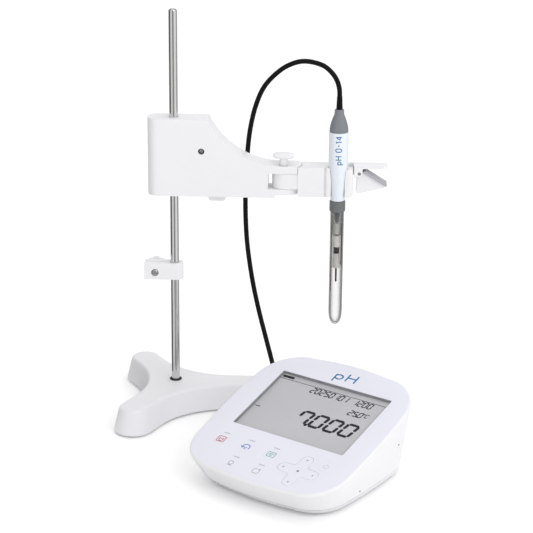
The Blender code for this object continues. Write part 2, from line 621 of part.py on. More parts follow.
pin_x, pin_z = LEVER_PIN_AT
lever_side = arc((pin_x, pin_z), LEVER_HUB_RADIUS, -15, 175, 8)
nose_high = LOCK_Z - 3.6 * MM
lever_side += [(pin_x - 9.0 * MM, nose_high), (pin_x - 15.3 * MM, nose_high),
               (pin_x - 15.3 * MM, nose_high - 2.6 * MM), (pin_x - 6.0 * MM, nose_high - 3.0 * MM),
               (pin_x + 6.0 * MM, ARM_LOW + 6.0 * MM), (pin_x + 5.0 * MM, ARM_LOW - 1.4 * MM),
               (pin_x + 7.6 * MM, TAB_LOW), (pin_x + 21.0 * MM, TAB_LOW), (pin_x + 23.6 * MM, ARM_LOW - 1.4 * MM),
               (pin_x + 19.0 * MM, ARM_LOW + 0.2 * MM), (pin_x + 12.0 * MM, ARM_LOW + 6.0 * MM)]
lever = add("release_lever", side_prism(lever_side, -LEVER_THICK / 2, LEVER_THICK / 2), WHITE, LEVER, STAND)
cut(lever, cylinder(LEVER_PIN_RADIUS + GAP, -LEVER_THICK, LEVER_THICK, SMALL_ROUND, "Y", (pin_x, 0, pin_z)))
add("lever_pin", cylinder(LEVER_PIN_RADIUS, -half + ARM_WALL + GAP, half - COVER_THICK - GAP, SMALL_ROUND, "Y",
                          (pin_x, 0, pin_z)), STEEL, ARM, STAND)

# thumb screw through the fork, and its nut
wing = []
for step in range(24):
    angle = 2 * math.pi * step / 24
    pinch = 0.72 + 0.28 * math.cos(angle) ** 2
    wing.append((PIVOT_X + WING_SPAN / 2 * math.cos(angle), WING_WIDTH / 2 * math.sin(angle) * pinch))
wing_mid = (WING_LOW + WING_HIGH) / 2


def wing_ring(scale, z):
    return [(PIVOT_X + (x - PIVOT_X) * scale, y * scale, z) for x, y in wing]


screw = add("pivot_screw", lofted([
    wing_ring(0.7, WING_LOW), wing_ring(0.95, WING_LOW + 1.3 * MM), wing_ring(1.0, wing_mid),
    wing_ring(0.93, WING_HIGH - 1.2 * MM), wing_ring(0.7, WING_HIGH),
]), WHITE, WING, STAND)
join(screw, turned([
    (0, FORK_BOTTOM + 0.6 * MM), (PIVOT_RADIUS, FORK_BOTTOM + 0.6 * MM), (PIVOT_RADIUS, FORK_TOP - 1.6 * MM),
    (3.8 * MM, FORK_TOP - 1.2 * MM), (3.8 * MM, WING_LOW + 1 * MM), (0, WING_LOW + 1 * MM),
], SMALL_ROUND, at=(PIVOT_X, 0, 0)))
nut = add("pivot_nut", cylinder(5.2 * MM, FORK_BOTTOM + 0.2 * MM, FORK_BOTTOM + 2.3 * MM, 6, at=(PIVOT_X, 0, 0)),
          STEEL, ARM, STAND)
cut(nut, cylinder(PIVOT_RADIUS + GAP, FORK_BOTTOM - OVERSHOOT, FORK_BOTTOM + 4 * MM, SMALL_ROUND, at=(PIVOT_X, 0, 0)))


# ---------------------------------------------------------------- holder
def seat_radius(z):
    """The cap's own radius at a height inside the holder."""
    share = (z - CAP_BOTTOM) / (CAP_SHOULDER - CAP_BOTTOM)
    return CAP_BOTTOM_RADIUS + (CAP_RADIUS - CAP_BOTTOM_RADIUS) * min(1.0, max(0.0, share))


swing = FORK_END_RADIUS + 0.6 * MM
swing_angle = math.degrees(math.asin(half / swing))
block_plan = arc((PIVOT_X, 0), swing, swing_angle, -swing_angle, 8)
block_plan += [(138.5 * MM, -half), (140.6 * MM, -half + 0.9 * MM), (141.4 * MM, -half + 2.2 * MM),
               (142.2 * MM, -half + 1.0 * MM), (143.6 * MM, -half - 0.2 * MM)]
block_plan += [(HOLDER_RIGHT - 4.0 * MM, -half - 0.2 * MM), (HOLDER_RIGHT - 1.2 * MM, -half + 1.4 * MM),
               (HOLDER_RIGHT, -half + 4.0 * MM), (HOLDER_RIGHT, half - 3.0 * MM), (HOLDER_RIGHT - 3.0 * MM, half)]
seat_x, seat_y = ELECTRODE_AT


def seat_cone(extra):
    low = HOLDER_LOW - OVERSHOOT
    high = HOLDER_HIGH + OVERSHOOT
    return turned([(seat_radius(low) + extra, low), (seat_radius(CAP_BOTTOM) + extra, CAP_BOTTOM),
                   (seat_radius(high) + extra, high)], ROUND, at=(seat_x, seat_y, 0))


def mouth():
    """The way out of the seat, to the front."""
    wide = 6.4 * MM
    return box((seat_x - wide, -half - 2 * OVERSHOOT, HOLDER_LOW - OVERSHOOT),
               (seat_x + wide, seat_y, HOLDER_HIGH + OVERSHOOT))


holder = add("holder_block", prism(block_plan, HOLDER_LOW, HOLDER_HIGH), WHITE, HOLDER, STAND)
tongue = arc((PIVOT_X, 0), TONGUE_END_RADIUS, 90, 270, 8)
tongue += [(PIVOT_X + swing + 2 * MM, -TONGUE_HALF_WIDTH), (PIVOT_X + swing + 2 * MM, TONGUE_HALF_WIDTH)]
tongue[0] = (PIVOT_X, TONGUE_HALF_WIDTH)
tongue[8] = (PIVOT_X, -TONGUE_HALF_WIDTH)
join(holder, prism(tongue, FORK_SLOT_LOW + GAP, FORK_SLOT_HIGH - GAP))
paddle = [(HOLDER_RIGHT - 3 * MM, -PADDLE_HALF_WIDTH)]
paddle += arc((PADDLE_END - 4 * MM, -PADDLE_HALF_WIDTH + 4 * MM), 4 * MM, -90, 0, 4)
paddle += arc((PADDLE_END - 4 * MM, PADDLE_HALF_WIDTH - 4 * MM), 4 * MM, 0, 90, 4)
paddle += [(HOLDER_RIGHT - 3 * MM, PADDLE_HALF_WIDTH)]
join(holder, prism(paddle, PADDLE_LOW, PADDLE_HIGH))
clamp_x, clamp_z = CLAMP_PIN_AT
for side in (-1, 1):
    near = side * (PADDLE_HALF_WIDTH - CLAMP_LUG)
    far = side * PADDLE_HALF_WIDTH
    lug = [(HOLDER_RIGHT - 2 * MM, HOLDER_HIGH - 0.6 * MM), (HOLDER_RIGHT - 2 * MM, clamp_z - 4.6 * MM)]
    lug += arc((clamp_x, clamp_z), CLAMP_HUB_RADIUS, -90, 0, 5)
    lug += [(clamp_x + CLAMP_HUB_RADIUS, PADDLE_LOW + 1 * MM)]
    join(holder, side_prism(lug, min(near, far), max(near, far)))
cut(holder, cylinder(CLAMP_PIN_RADIUS + GAP, -PADDLE_HALF_WIDTH - OVERSHOOT, PADDLE_HALF_WIDTH + OVERSHOOT, 12, "Y",
                     (clamp_x, 0, clamp_z)))
cut(holder, cylinder(PIVOT_RADIUS + GAP, ARM_LOW, FORK_TOP, SMALL_ROUND, at=(PIVOT_X, 0, 0)))
cut(holder, seat_cone(SEAT_CLEARANCE))
cut(holder, mouth())

# the right cheek of the seat is a jaw on an upright pin
jaw_x, jaw_y = JAW_PIN_AT
cheek_from = seat_x + 1 * MM
cheek = [(cheek_from, -half - 0.2 * MM), (HOLDER_RIGHT - 4.0 * MM, -half - 0.2 * MM),
         (HOLDER_RIGHT - 1.2 * MM, -half + 1.4 * MM), (HOLDER_RIGHT, -half + 4.0 * MM),
         (HOLDER_RIGHT, JAW_SPLIT_Y - 0.9 * MM), (jaw_x, JAW_SPLIT_Y), (cheek_from, JAW_SPLIT_Y)]
cut(holder, box((cheek_from, -half - OVERSHOOT, HOLDER_LOW - OVERSHOOT),
                (HOLDER_RIGHT + OVERSHOOT, JAW_SPLIT_Y + GAP, HOLDER_HIGH + OVERSHOOT)))
for low, high in ((HOLDER_LOW - OVERSHOOT, KNUCKLE_LOW), (KNUCKLE_HIGH, HOLDER_HIGH + OVERSHOOT)):
    hub_room = JAW_HUB_RADIUS + 0.6 * MM
    cut(holder, cylinder(hub_room, low, high, 20, at=(jaw_x, jaw_y, 0)))
    cut(holder, box((jaw_x - hub_room, JAW_SPLIT_Y - OVERSHOOT, low), (HOLDER_RIGHT + OVERSHOOT, jaw_y, high)))
cut(holder, cylinder(JAW_PIN_RADIUS + GAP, HOLDER_LOW - OVERSHOOT, HOLDER_HIGH - 0.5 * MM, 12, at=(jaw_x, jaw_y, 0)))

jaw = add("clip_jaw", prism(cheek, HOLDER_LOW, HOLDER_HIGH - 1.4 * MM), WHITE, JAW, STAND)
hub_plan = arc((jaw_x, jaw_y), JAW_HUB_RADIUS, 0, 180, 8)
hub_plan += [(jaw_x - JAW_HUB_RADIUS, JAW_SPLIT_Y - 1 * MM), (jaw_x + JAW_HUB_RADIUS - 0.4 * MM, JAW_SPLIT_Y - 1 * MM)]
join(jaw, prism(hub_plan, HOLDER_LOW, HOLDER_HIGH - 1.4 * MM))
cut(jaw, box((jaw_x - 8 * MM, JAW_SPLIT_Y + 0.0 * MM, KNUCKLE_LOW - GAP),
             (jaw_x + 8 * MM, jaw_y + 8 * MM, KNUCKLE_HIGH + GAP)))
cut(jaw, seat_cone(SEAT_CLEARANCE))
cut(jaw, mouth())
cut(jaw, cylinder(JAW_PIN_RADIUS + GAP, HOLDER_LOW - OVERSHOOT, HOLDER_HIGH + OVERSHOOT, 12, at=(jaw_x, jaw_y, 0)))
add("jaw_pin", cylinder(JAW_PIN_RADIUS, HOLDER_LOW + 0.3 * MM, HOLDER_HIGH - 1.6 * MM, 12, at=(jaw_x, jaw_y, 0)),
    STEEL, HOLDER, STAND)

# squeeze lever under the paddle
inner = PADDLE_HALF_WIDTH - CLAMP_LUG - GAP
clamp_side = arc((clamp_x, clamp_z), CLAMP_HUB_RADIUS - 0.3 * MM, 70, 200, 6)
clamp_side += [(clamp_x - 2.4 * MM, 226.5 * MM), (clamp_x + 1.2 * MM, 224.4 * MM), (194.0 * MM, 224.4 * MM),
               (198.0 * MM, 225.4 * MM)]
clamp = add("clamp_lever", side_prism(clamp_side, -inner, inner), WHITE, CLAMP, STAND)
cut(clamp, cylinder(CLAMP_PIN_RADIUS + GAP, -inner - OVERSHOOT, inner + OVERSHOOT, 12, "Y", (clamp_x, 0, clamp_z)))
cut(clamp, box((clamp_x - 6 * MM, -2.2 * MM, clamp_z - 3.4 * MM), (clamp_x + 3.6 * MM, 2.2 * MM, clamp_z + 6 * MM)))
pad_start = Vector((clamp_side[0][0], clamp_side[0][1]))
pad_stop = Vector(clamp_side[-1])
along = (pad_stop - pad_start).normalized()
up = Vector((-along.y, along.x))
pad_side = [pad_start + along * 2.4 * MM + up * GAP, pad_stop + up * GAP, pad_stop + up * 2.4 * MM,
            pad_start + along * 4.0 * MM + up * 2.6 * MM]
add("clamp_pad", side_prism([tuple(point) for point in pad_side], -PADDLE_HALF_WIDTH, PADDLE_HALF_WIDTH), GREY,
    CLAMP, STAND)
add("clamp_pin", cylinder(CLAMP_PIN_RADIUS, -PADDLE_HALF_WIDTH + 0.3 * MM, PADDLE_HALF_WIDTH - 0.3 * MM, 12, "Y",
                          (clamp_x, 0, clamp_z)), STEEL, HOLDER, STAND)
add("clamp_spring", spring(1.9 * MM, 0.25 * MM, -1.7 * MM, 1.7 * MM, 4, "Y", (clamp_x, 0, clamp_z), 10, 5), STEEL,
    HOLDER, STAND)


# ---------------------------------------------------------------- electrode
def electrode_part(name, profile, material, steps=ROUND, hollow=False):
    return add(name, turned(profile, steps, at=(seat_x, seat_y, 0), hollow=hollow), material, ELECTRODE, STAND)


cone_low = CAP_TOP + GAP
cone_high = CONE_TOP
cone_reach = CAP_RADIUS - 0.4 * MM
electrode_part("electrode_cone", [
    (5.0 * MM, cone_low), (cone_reach, cone_low), (cone_reach, cone_low + 2.2 * MM), (8.4 * MM, cone_low + 4.4 * MM),
    (7.6 * MM, cone_low + 7.9 * MM), (6.4 * MM, cone_low + 11.7 * MM), (5.0 * MM, cone_low + 14.8 * MM),
    (CONE_TOP_RADIUS, cone_low + 16.4 * MM), (CONE_TOP_RADIUS, cone_high - 0.4 * MM),
    (CONE_TOP_RADIUS - 0.4 * MM, cone_high), (CABLE_RADIUS + GAP, cone_high),
    (CABLE_RADIUS + GAP, cone_low + 14 * MM), (5.0 * MM, cone_low + 8 * MM),
], GREY, hollow=True)
bore = 4.2 * MM
electrode_part("electrode_cap", [
    (bore, CAP_BOTTOM - 2.6 * MM), (CAP_BOTTOM_RADIUS + 0.3 * MM, CAP_BOTTOM - 2.6 * MM),
    (CAP_BOTTOM_RADIUS + 0.3 * MM, CAP_BOTTOM - 0.4 * MM), (CAP_BOTTOM_RADIUS, CAP_BOTTOM),
    (CAP_RADIUS, CAP_SHOULDER), (CAP_RADIUS, CAP_TOP - 0.6 * MM), (CAP_RADIUS - 0.5 * MM, CAP_TOP),
    (6.0 * MM, CAP_TOP), (6.0 * MM, CAP_SHOULDER - 6 * MM), (bore, CAP_SHOULDER - 10 * MM),
], WHITE, hollow=True)
electrode_part("electrode_collar", [
    (STEM_RADIUS + GAP, COLLAR_LOW), (SLEEVE_RADIUS - 0.3 * MM, COLLAR_LOW), (SLEEVE_RADIUS, COLLAR_LOW + 0.6 * MM),
    (SLEEVE_RADIUS, COLLAR_HIGH - 1.0 * MM), (SLEEVE_RADIUS - 0.8 * MM, COLLAR_HIGH - GAP),
    (STEM_RADIUS + GAP, COLLAR_HIGH - GAP),
], FROSTED, hollow=True)
tip = STEM_TIP
stem_inner = STEM_RADIUS - STEM_WALL
electrode_part("electrode_stem", [
    (0, tip), (2.9 * MM, tip + 0.9 * MM), (5.1 * MM, tip + 4.6 * MM), (6.0 * MM, tip + 8.4 * MM),
    (STEM_RADIUS, tip + 14.5 * MM), (STEM_RADIUS, COLLAR_HIGH - GAP), (stem_inner, COLLAR_HIGH - GAP),
    (stem_inner, tip + 15 * MM), (5.1 * MM, tip + 9.4 * MM), (4.2 * MM, tip + 5.8 * MM),
    (2.2 * MM, tip + 2.2 * MM), (0, tip + 1.5 * MM),
], GLASS)
inner_low = tip + 18 * MM
electrode_part("electrode_inner_tube", [
    (0, inner_low), (2.0 * MM, inner_low + 0.6 * MM), (INNER_TUBE_RADIUS, inner_low + 3 * MM),
    (INNER_TUBE_RADIUS, CAP_SHOULDER - 14 * MM), (INNER_TUBE_RADIUS - 0.7 * MM, CAP_SHOULDER - 14 * MM),
    (INNER_TUBE_RADIUS - 0.7 * MM, inner_low + 3.4 * MM), (0, inner_low + 1.4 * MM),
], GLASS, 20)
core = INNER_TUBE_RADIUS - 0.7 * MM - GAP
electrode_part("electrode_plug", [
    (0, 178.4 * MM), (core * 0.7, 178.8 * MM), (core, 180.4 * MM), (core, 201 * MM), (0, 201 * MM),
], GREY, SMALL_ROUND)
electrode_part("electrode_element", [
    (0, 132.0 * MM), (0.7 * MM, 132.0 * MM), (0.7 * MM, 160.2 * MM), (1.9 * MM, 160.4 * MM), (1.9 * MM, 165.8 * MM),
    (0.5 * MM, 166.0 * MM), (0.5 * MM, 177.9 * MM), (0, 177.9 * MM),
], BRASS, 12)

# ---------------------------------------------------------------- cable
electrode_part("cable_boot", [
    (0, CONE_TOP + GAP), (3.0 * MM, CONE_TOP + GAP), (CABLE_RADIUS + 0.2 * MM, BOOT_TOP), (0, BOOT_TOP),
], RUBBER, 14)

COIL_START = 232.0  # degrees round the coil where the cable from the electrode joins it
COIL_END = 300.0  # where the lead to the plug leaves it


def coil_point(angle, z):
    reach = COIL_RADIUS + 2 * CABLE_RADIUS + 2 * GAP
    return (COIL_AT[0] + reach * math.cos(math.radians(angle)), COIL_AT[1] + reach * math.sin(math.radians(angle)), z)


def smooth_route(points, spacing):
    """Evenly spaced points on a smooth curve through the route's own points."""
    route = [Vector(point) for point in points]
    route = [route[0] * 2 - route[1]] + route + [route[-1] * 2 - route[-2]]
    fine = []
    for a, b, c, d in zip(route, route[1:], route[2:], route[3:]):
        for step in range(24):
            t = step / 24
            fine.append(0.5 * (2 * b + (c - a) * t + (2 * a - 5 * b + 4 * c - d) * t ** 2
                               + (3 * b - a - 3 * c + d) * t ** 3))
    fine.append(route[-2])
    lengths = [0.0]
    for a, b in zip(fine, fine[1:]):
        lengths.append(lengths[-1] + (b - a).length)
    count = max(2, round(lengths[-1] / spacing))
    spaced = []
    at = 0
    for step in range(count + 1):
        wanted = lengths[-1] * step / count
        while at < len(fine) - 2 and lengths[at + 1] < wanted:
            at += 1
        share = (wanted - lengths[at]) / max(1e-9, lengths[at + 1] - lengths[at])
        spaced.append(fine[at].lerp(fine[at + 1], min(1.0, share)))
    return spaced, lengths[-1]


def cable(name, route):
    points, _ = smooth_route(route, 11 * MM)
    line = bpy.data.curves.new(name, "CURVE")
    line.dimensions = "3D"
    line.bevel_depth = CABLE_RADIUS
    line.bevel_resolution = 2
    line.use_fill_caps = True
    spline = line.splines.new("POLY")
    spline.points.add(len(points) - 1)
    for target, point in zip(spline.points, points):
        target.co = (*point, 1.0)
    line.materials.append(RUBBER)
    made = bpy.data.objects.new(name, line)
    bpy.context.scene.collection.objects.link(made)
    made.parent = STAND
    return made


def in_mm(points, back=0.0):
    return [(x * MM, y * MM + back, z * MM) for x, y, z in points]


# from the electrode over the arm, down behind it and to the coil, measured from the rod's foot
behind_arm = half + CABLE_CLEAR
ELECTRODE_CABLE = in_mm([
    (153.6, -6.0, 311.3), (153.2, -6.0, 318.0), (151.0, -5.8, 325.5), (146.0, -5.2, 333.0), (137.0, -3.5, 339.6),
    (121.0, 0.0, 342.2), (107.0, 3.5, 337.8), (95.0, 6.0, 329.0), (83.0, 9.0, 314.6),
]) + in_mm([
    (75.0, -3.6, 294.0), (70.2, -1.6, 270.8), (68.0, -0.4, 248.0), (66.8, 0.0, 225.0), (66.4, 0.0, 203.0),
    (66.8, -0.4, 184.0), (68.2, -2.0, 163.0), (71.0, -4.8, 142.0),
], behind_arm) + in_mm([
    (75.4, 6.6, 118.0), (81.2, 1.6, 94.0), (88.0, -4.6, 70.0), (94.6, -12.6, 48.0), (99.6, -22.0, 31.0),
    (104.6, -31.5, 20.0),
])
coil_in = coil_point(COIL_START, 16.0 * MM)
cable("cable", ELECTRODE_CABLE + [coil_in])

ring_low = GAP
ring_high = ring_low + COIL_HEIGHT
ring_in = COIL_RADIUS - CABLE_RADIUS
ring_out = COIL_RADIUS + CABLE_RADIUS
add("cable_coil", turned([
    (ring_in, ring_low + 1.5 * MM), (ring_in + 1.5 * MM, ring_low), (ring_out - 1.5 * MM, ring_low),
    (ring_out, ring_low + 1.5 * MM), (ring_out, ring_high - 1.5 * MM), (ring_out - 1.5 * MM, ring_high),
    (ring_in + 1.5 * MM, ring_high), (ring_in, ring_high - 1.5 * MM),
], 32, at=(*COIL_AT, 0), hollow=True), RUBBER, STAND)


def from_meter(x, y, z):
    """A place in the meter's own frame, measured from the rod's foot."""
    turn = math.radians(METER_TURN)
    return (METER_FROM_ROD[0] + x * math.cos(turn) - y * math.sin(turn),
            METER_FROM_ROD[1] + x * math.sin(turn) + y * math.cos(turn), z)


plug_low = REAR_RECESS_Y + 6.4 * MM
plug_high = plug_low + PLUG_LENGTH
boot_high = plug_high + 12 * MM
LEAD_END = from_meter(SOCKET_X, boot_high + GAP, REAR_PANEL_Z)
LEAD_BACK = from_meter(SOCKET_X, boot_high + 9 * MM, REAR_PANEL_Z - 1.2 * MM)
COIL_LEAD = in_mm([(158.0, -36.0, 3.0), (171.0, -25.5, 2.6), (184.0, -18.2, 2.6), (197.5, -18.2, 5.4),
                   (207.0, -27.0, 11.6), (209.0, -38.0, 17.6)])
cable("cable_lead", [coil_point(COIL_END, 3.4 * MM)] + COIL_LEAD + [LEAD_BACK, LEAD_END])

clip_z = 232.0 * MM
clip_x = 66.7 * MM
clip = add("cable_clip", box((clip_x - 5.0 * MM, half + GAP, clip_z - CLIP_HEIGHT / 2),
                             (clip_x + 5.0 * MM, half + GAP + 1.4 * MM, clip_z + CLIP_HEIGHT / 2)), WHITE, ARM, STAND)
join(clip, tube(CABLE_RADIUS + 1.9 * MM, CABLE_RADIUS + 0.4 * MM, clip_z - CLIP_HEIGHT / 2, clip_z + CLIP_HEIGHT / 2,
                20, at=(clip_x + 0.2 * MM, behind_arm, 0)))
cut(clip, box((clip_x - 1.4 * MM, behind_arm + 1.1 * MM, clip_z - CLIP_HEIGHT),
              (clip_x + 1.8 * MM, behind_arm + 6.6 * MM, clip_z + CLIP_HEIGHT)))


# ---------------------------------------------------------------- meter
def case_outline(half_width, front, back, front_corner, back_corner):
    """The casing's plan: round corners joined by slightly bowed sides."""
    corners = [
        ((half_width - front_corner, front + front_corner), front_corner, -90),
        ((half_width - back_corner, back - back_corner), back_corner, 0),
        ((-half_width + back_corner, back - back_corner), back_corner, 90),
        ((-half_width + front_corner, front + front_corner), front_corner, 180),
    ]
    bows = [CASE_SIDE_BULGE, CASE_END_BULGE, CASE_SIDE_BULGE, CASE_END_BULGE]
    arcs = [arc(middle, radius, start, start + 90, 6) for middle, radius, start in corners]
    points = []
    for number, corner in enumerate(arcs):
        points += corner
        start = Vector(corner[-1])
        stop = Vector(arcs[(number + 1) % 4][0])
        out = Vector(((stop - start).y, -(stop - start).x)).normalized()
        for share in (0.25, 0.5, 0.75):
            bow = bows[number] * 4 * share * (1 - share)
            points.append(tuple(start.lerp(stop, share) + out * bow))
    return points


slope = math.tan(math.radians(PANEL_SLOPE))


def rim_ring(draw_in, drop):
    """A ring that follows the sloping panel, drawn in from the rim and dropped below it."""
    outline = case_outline(CASE_HALF_WIDTH - draw_in, -CASE_HALF_DEPTH + draw_in, CASE_HALF_DEPTH - draw_in,
                           CASE_FRONT_CORNER - draw_in, CASE_BACK_CORNER - draw_in)
    return [Vector((x, y, PANEL_HEIGHT + y * slope - drop)) for x, y in outline]


def foot_ring(draw_in, z):
    """A level ring of the casing's foot, which is narrower than the rim."""
    outline = case_outline(CASE_HALF_WIDTH - CASE_SIDE_TAPER - draw_in,
                           -CASE_HALF_DEPTH + CASE_FRONT_TAPER + draw_in, CASE_HALF_DEPTH - 0.6 * MM - draw_in,
                           CASE_FRONT_CORNER - 3 * MM - draw_in, CASE_BACK_CORNER - 3 * MM - draw_in)
    return [Vector((x, y, z)) for x, y in outline]


def wall_rings(draw_in, low, drop):
    """Rings up the casing's wall, which runs straight from the foot to the rim."""
    foot = foot_ring(draw_in, 0.0)
    rim = rim_ring(draw_in, drop)
    rings = []
    for ring_number in range(4):
        ring = []
        for a, b in zip(foot, rim):
            start = a.lerp(b, low / b.z)
            ring.append(start.lerp(b, ring_number / 3))
        rings.append(ring)
    return rings


top_case = add("meter_top_case", lofted(
    wall_rings(0, CASE_SEAM + GAP, CASE_RIM)
    + [rim_ring(CASE_RIM * 0.3, CASE_RIM * 0.3), rim_ring(CASE_RIM, 0)]
), PANEL, METER)
inside = wall_rings(CASE_WALL, CASE_SEAM - OVERSHOOT, CASE_WALL + 1.2 * MM)
cut(top_case, lofted(inside + [rim_ring(CASE_WALL + 2 * MM, CASE_WALL)]))


def on_face(body):
    """The same body, moved from the panel's frame to the casing's."""
    body.transform(METER.matrix_world.inverted() @ FACE.matrix_world)
    return body


def rounded_rectangle(middle, width, height, corner, steps=4):
    points = []
    for sx, sy, start in ((1, -1, -90), (1, 1, 0), (-1, 1, 90), (-1, -1, 180)):
        at = (middle[0] + sx * (width / 2 - corner), middle[1] + sy * (height / 2 - corner))
        points += arc(at, corner, start, start + 90, steps)
    return points


def cross_outline(reach, half_width, inner_round):
    """A plus sign with round ends and rounded inner corners."""
    points = []
    for arm_number in range(4):
        turn = Matrix.Rotation(math.radians(90 * arm_number), 2)
        end = arc((reach - half_width, 0), half_width, -90, 90, 6)
        corner = (half_width + inner_round, half_width + inner_round)
        inner_arc = arc(corner, inner_round, 270, 180, 3)
        points += [tuple(turn @ Vector(point)) for point in end + inner_arc]
    return points


lcd_middle = (LCD_SHIFT, (LCD_LOW + LCD_HIGH) / 2)
lcd_height = LCD_HIGH - LCD_LOW
cut(top_case, on_face(prism(rounded_rectangle(lcd_middle, LCD_WIDTH, lcd_height, 1.6 * MM), -9 * MM, OVERSHOOT)))
holes = [cylinder(KEY_RADIUS + GAP, -CASE_WALL - OVERSHOOT, OVERSHOOT, 20, at=(*at, 0)) for at in ICON_KEYS.values()]
pad_hole = [(PAD_AT[0] + x, PAD_AT[1] + y) for x, y in cross_outline(PAD_REACH + GAP, PAD_HALF_WIDTH + GAP, 2.7 * MM)]
holes.append(prism(pad_hole, -CASE_WALL - OVERSHOOT, OVERSHOOT))
cut(top_case, on_face(merged(*holes)))
rear_wide, rear_high = REAR_PANEL
cut(top_case, box((-rear_wide / 2, REAR_RECESS_Y - 8 * MM, REAR_PANEL_Z - rear_high / 2),
                  (rear_wide / 2, CASE_HALF_DEPTH + 3 * OVERSHOOT, REAR_PANEL_Z + rear_high / 2)))

bottom_case = add("meter_bottom_case", lofted([
    foot_ring(2.0 * MM, CASE_FLOOR),
    foot_ring(0.8 * MM, CASE_FLOOR + 0.8 * MM),
    [a.lerp(b, CASE_SEAM / b.z) for a, b in zip(foot_ring(0, 0), rim_ring(0, CASE_RIM))],
]), WHITE, METER)
cut(bottom_case, lofted([foot_ring(3.4 * MM, CASE_FLOOR + CASE_WALL), foot_ring(3.0 * MM, CASE_SEAM + OVERSHOOT)]))

for name, y in (("meter_foot_front", -52 * MM), ("meter_foot_back", 66 * MM)):
    strip = rounded_rectangle((0, y), 96 * MM, 9 * MM, 4.4 * MM)
    add(name, prism(strip, 0, CASE_FLOOR - GAP), RUBBER, METER)

add("lcd_window", prism(rounded_rectangle(lcd_middle, LCD_WIDTH - 2 * GAP, lcd_height - 2 * GAP, 1.4 * MM),
                        -WINDOW_THICK - 0.2 * MM, -0.2 * MM), GLASS, FACE)
add("lcd_module", prism(rounded_rectangle(lcd_middle, LCD_WIDTH - 4 * GAP, lcd_height - 4 * GAP, 1.2 * MM),
                        -7.5 * MM, -WINDOW_THICK - 0.2 * MM - GAP), DISPLAY, FACE)
add("circuit_board", prism(rounded_rectangle((0, -6 * MM), 112 * MM, 104 * MM, 4 * MM), -14 * MM, -12.4 * MM),
    BOARD, FACE)

for name, (x, y) in ICON_KEYS.items():
    key = add(name, turned([
        (0, -KEY_THICK), (KEY_RADIUS, -KEY_THICK), (KEY_RADIUS, -0.25 * MM), (KEY_RADIUS - 0.25 * MM, 0), (0, 0),
    ], 20), PANEL, FACE)
    key.location = (x, y, 0)
pad = add("key_arrow_pad", prism(cross_outline(PAD_REACH, PAD_HALF_WIDTH, 3.0 * MM), -KEY_THICK, 0), PANEL, FACE)
pad.location = (*PAD_AT, 0)
cut(pad, cylinder(PAD_CENTRE_RADIUS + GAP, -KEY_THICK - OVERSHOOT, OVERSHOOT, 20))
centre = add("key_centre", turned([
    (0, -KEY_THICK), (PAD_CENTRE_RADIUS, -KEY_THICK), (PAD_CENTRE_RADIUS, -0.25 * MM),
    (PAD_CENTRE_RADIUS - 0.25 * MM, 0), (0, 0),
], 20), PANEL, FACE)
centre.location = (*PAD_AT, 0)

rear = add("meter_rear_panel", box(
    (-rear_wide / 2 + GAP, REAR_RECESS_Y - COVER_THICK, REAR_PANEL_Z - rear_high / 2 + GAP),
    (rear_wide / 2 - GAP, REAR_RECESS_Y, REAR_PANEL_Z + rear_high / 2 - GAP)), GREY, METER)
socket_at = (SOCKET_X, 0, REAR_PANEL_Z)
jack_at = (JACK_X, 0, REAR_PANEL_Z)
cut(rear, merged(
    cylinder(SOCKET_RADIUS - 1 * MM + GAP, REAR_RECESS_Y - 6 * MM, REAR_RECESS_Y + OVERSHOOT, 20, "Y", socket_at),
    cylinder(JACK_RADIUS - 1 * MM + GAP, REAR_RECESS_Y - 6 * MM, REAR_RECESS_Y + OVERSHOOT, 16, "Y", jack_at),
))
for name, radius, reach, at in (("electrode_socket", SOCKET_RADIUS, 6 * MM, socket_at),
                                ("temperature_jack", JACK_RADIUS, 3 * MM, jack_at)):
    neck = radius - 1 * MM
    add(name, turned([
        (neck - 2 * MM, REAR_RECESS_Y - 6 * MM), (neck, REAR_RECESS_Y - 6 * MM), (neck, REAR_RECESS_Y + GAP),
        (radius, REAR_RECESS_Y + GAP), (radius, REAR_RECESS_Y + reach), (neck - 2 * MM, REAR_RECESS_Y + reach),
    ], 20, "Y", at, hollow=True), STEEL, METER)

add("plug", turned([
    (0, plug_low), (PLUG_RADIUS - 0.6 * MM, plug_low), (PLUG_RADIUS, plug_low + 0.6 * MM),
    (PLUG_RADIUS, plug_high - 8 * MM), (5.6 * MM, plug_high - 7 * MM), (5.6 * MM, plug_high), (0, plug_high),
], 20, "Y", socket_at), STEEL, METER)
add("plug_boot", turned([
    (0, plug_high + GAP), (4.6 * MM, plug_high + GAP), (CABLE_RADIUS + 0.5 * MM, boot_high), (0, boot_high),
], 16, "Y", socket_at), RUBBER, METER)
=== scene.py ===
# %% [markdown]
# # A bench pH meter with its electrode stand
# The imported model is loaded first, as a fixed frame of named bodies and nodes. Nearly everything made
# below rides on one of those bodies, so it moves when the real joint would move it. The cable's four
# stretches between the electrode and the bench ride on none.

# %% The frame
import math

import bmesh
import bpy
from mathutils import Matrix, Vector


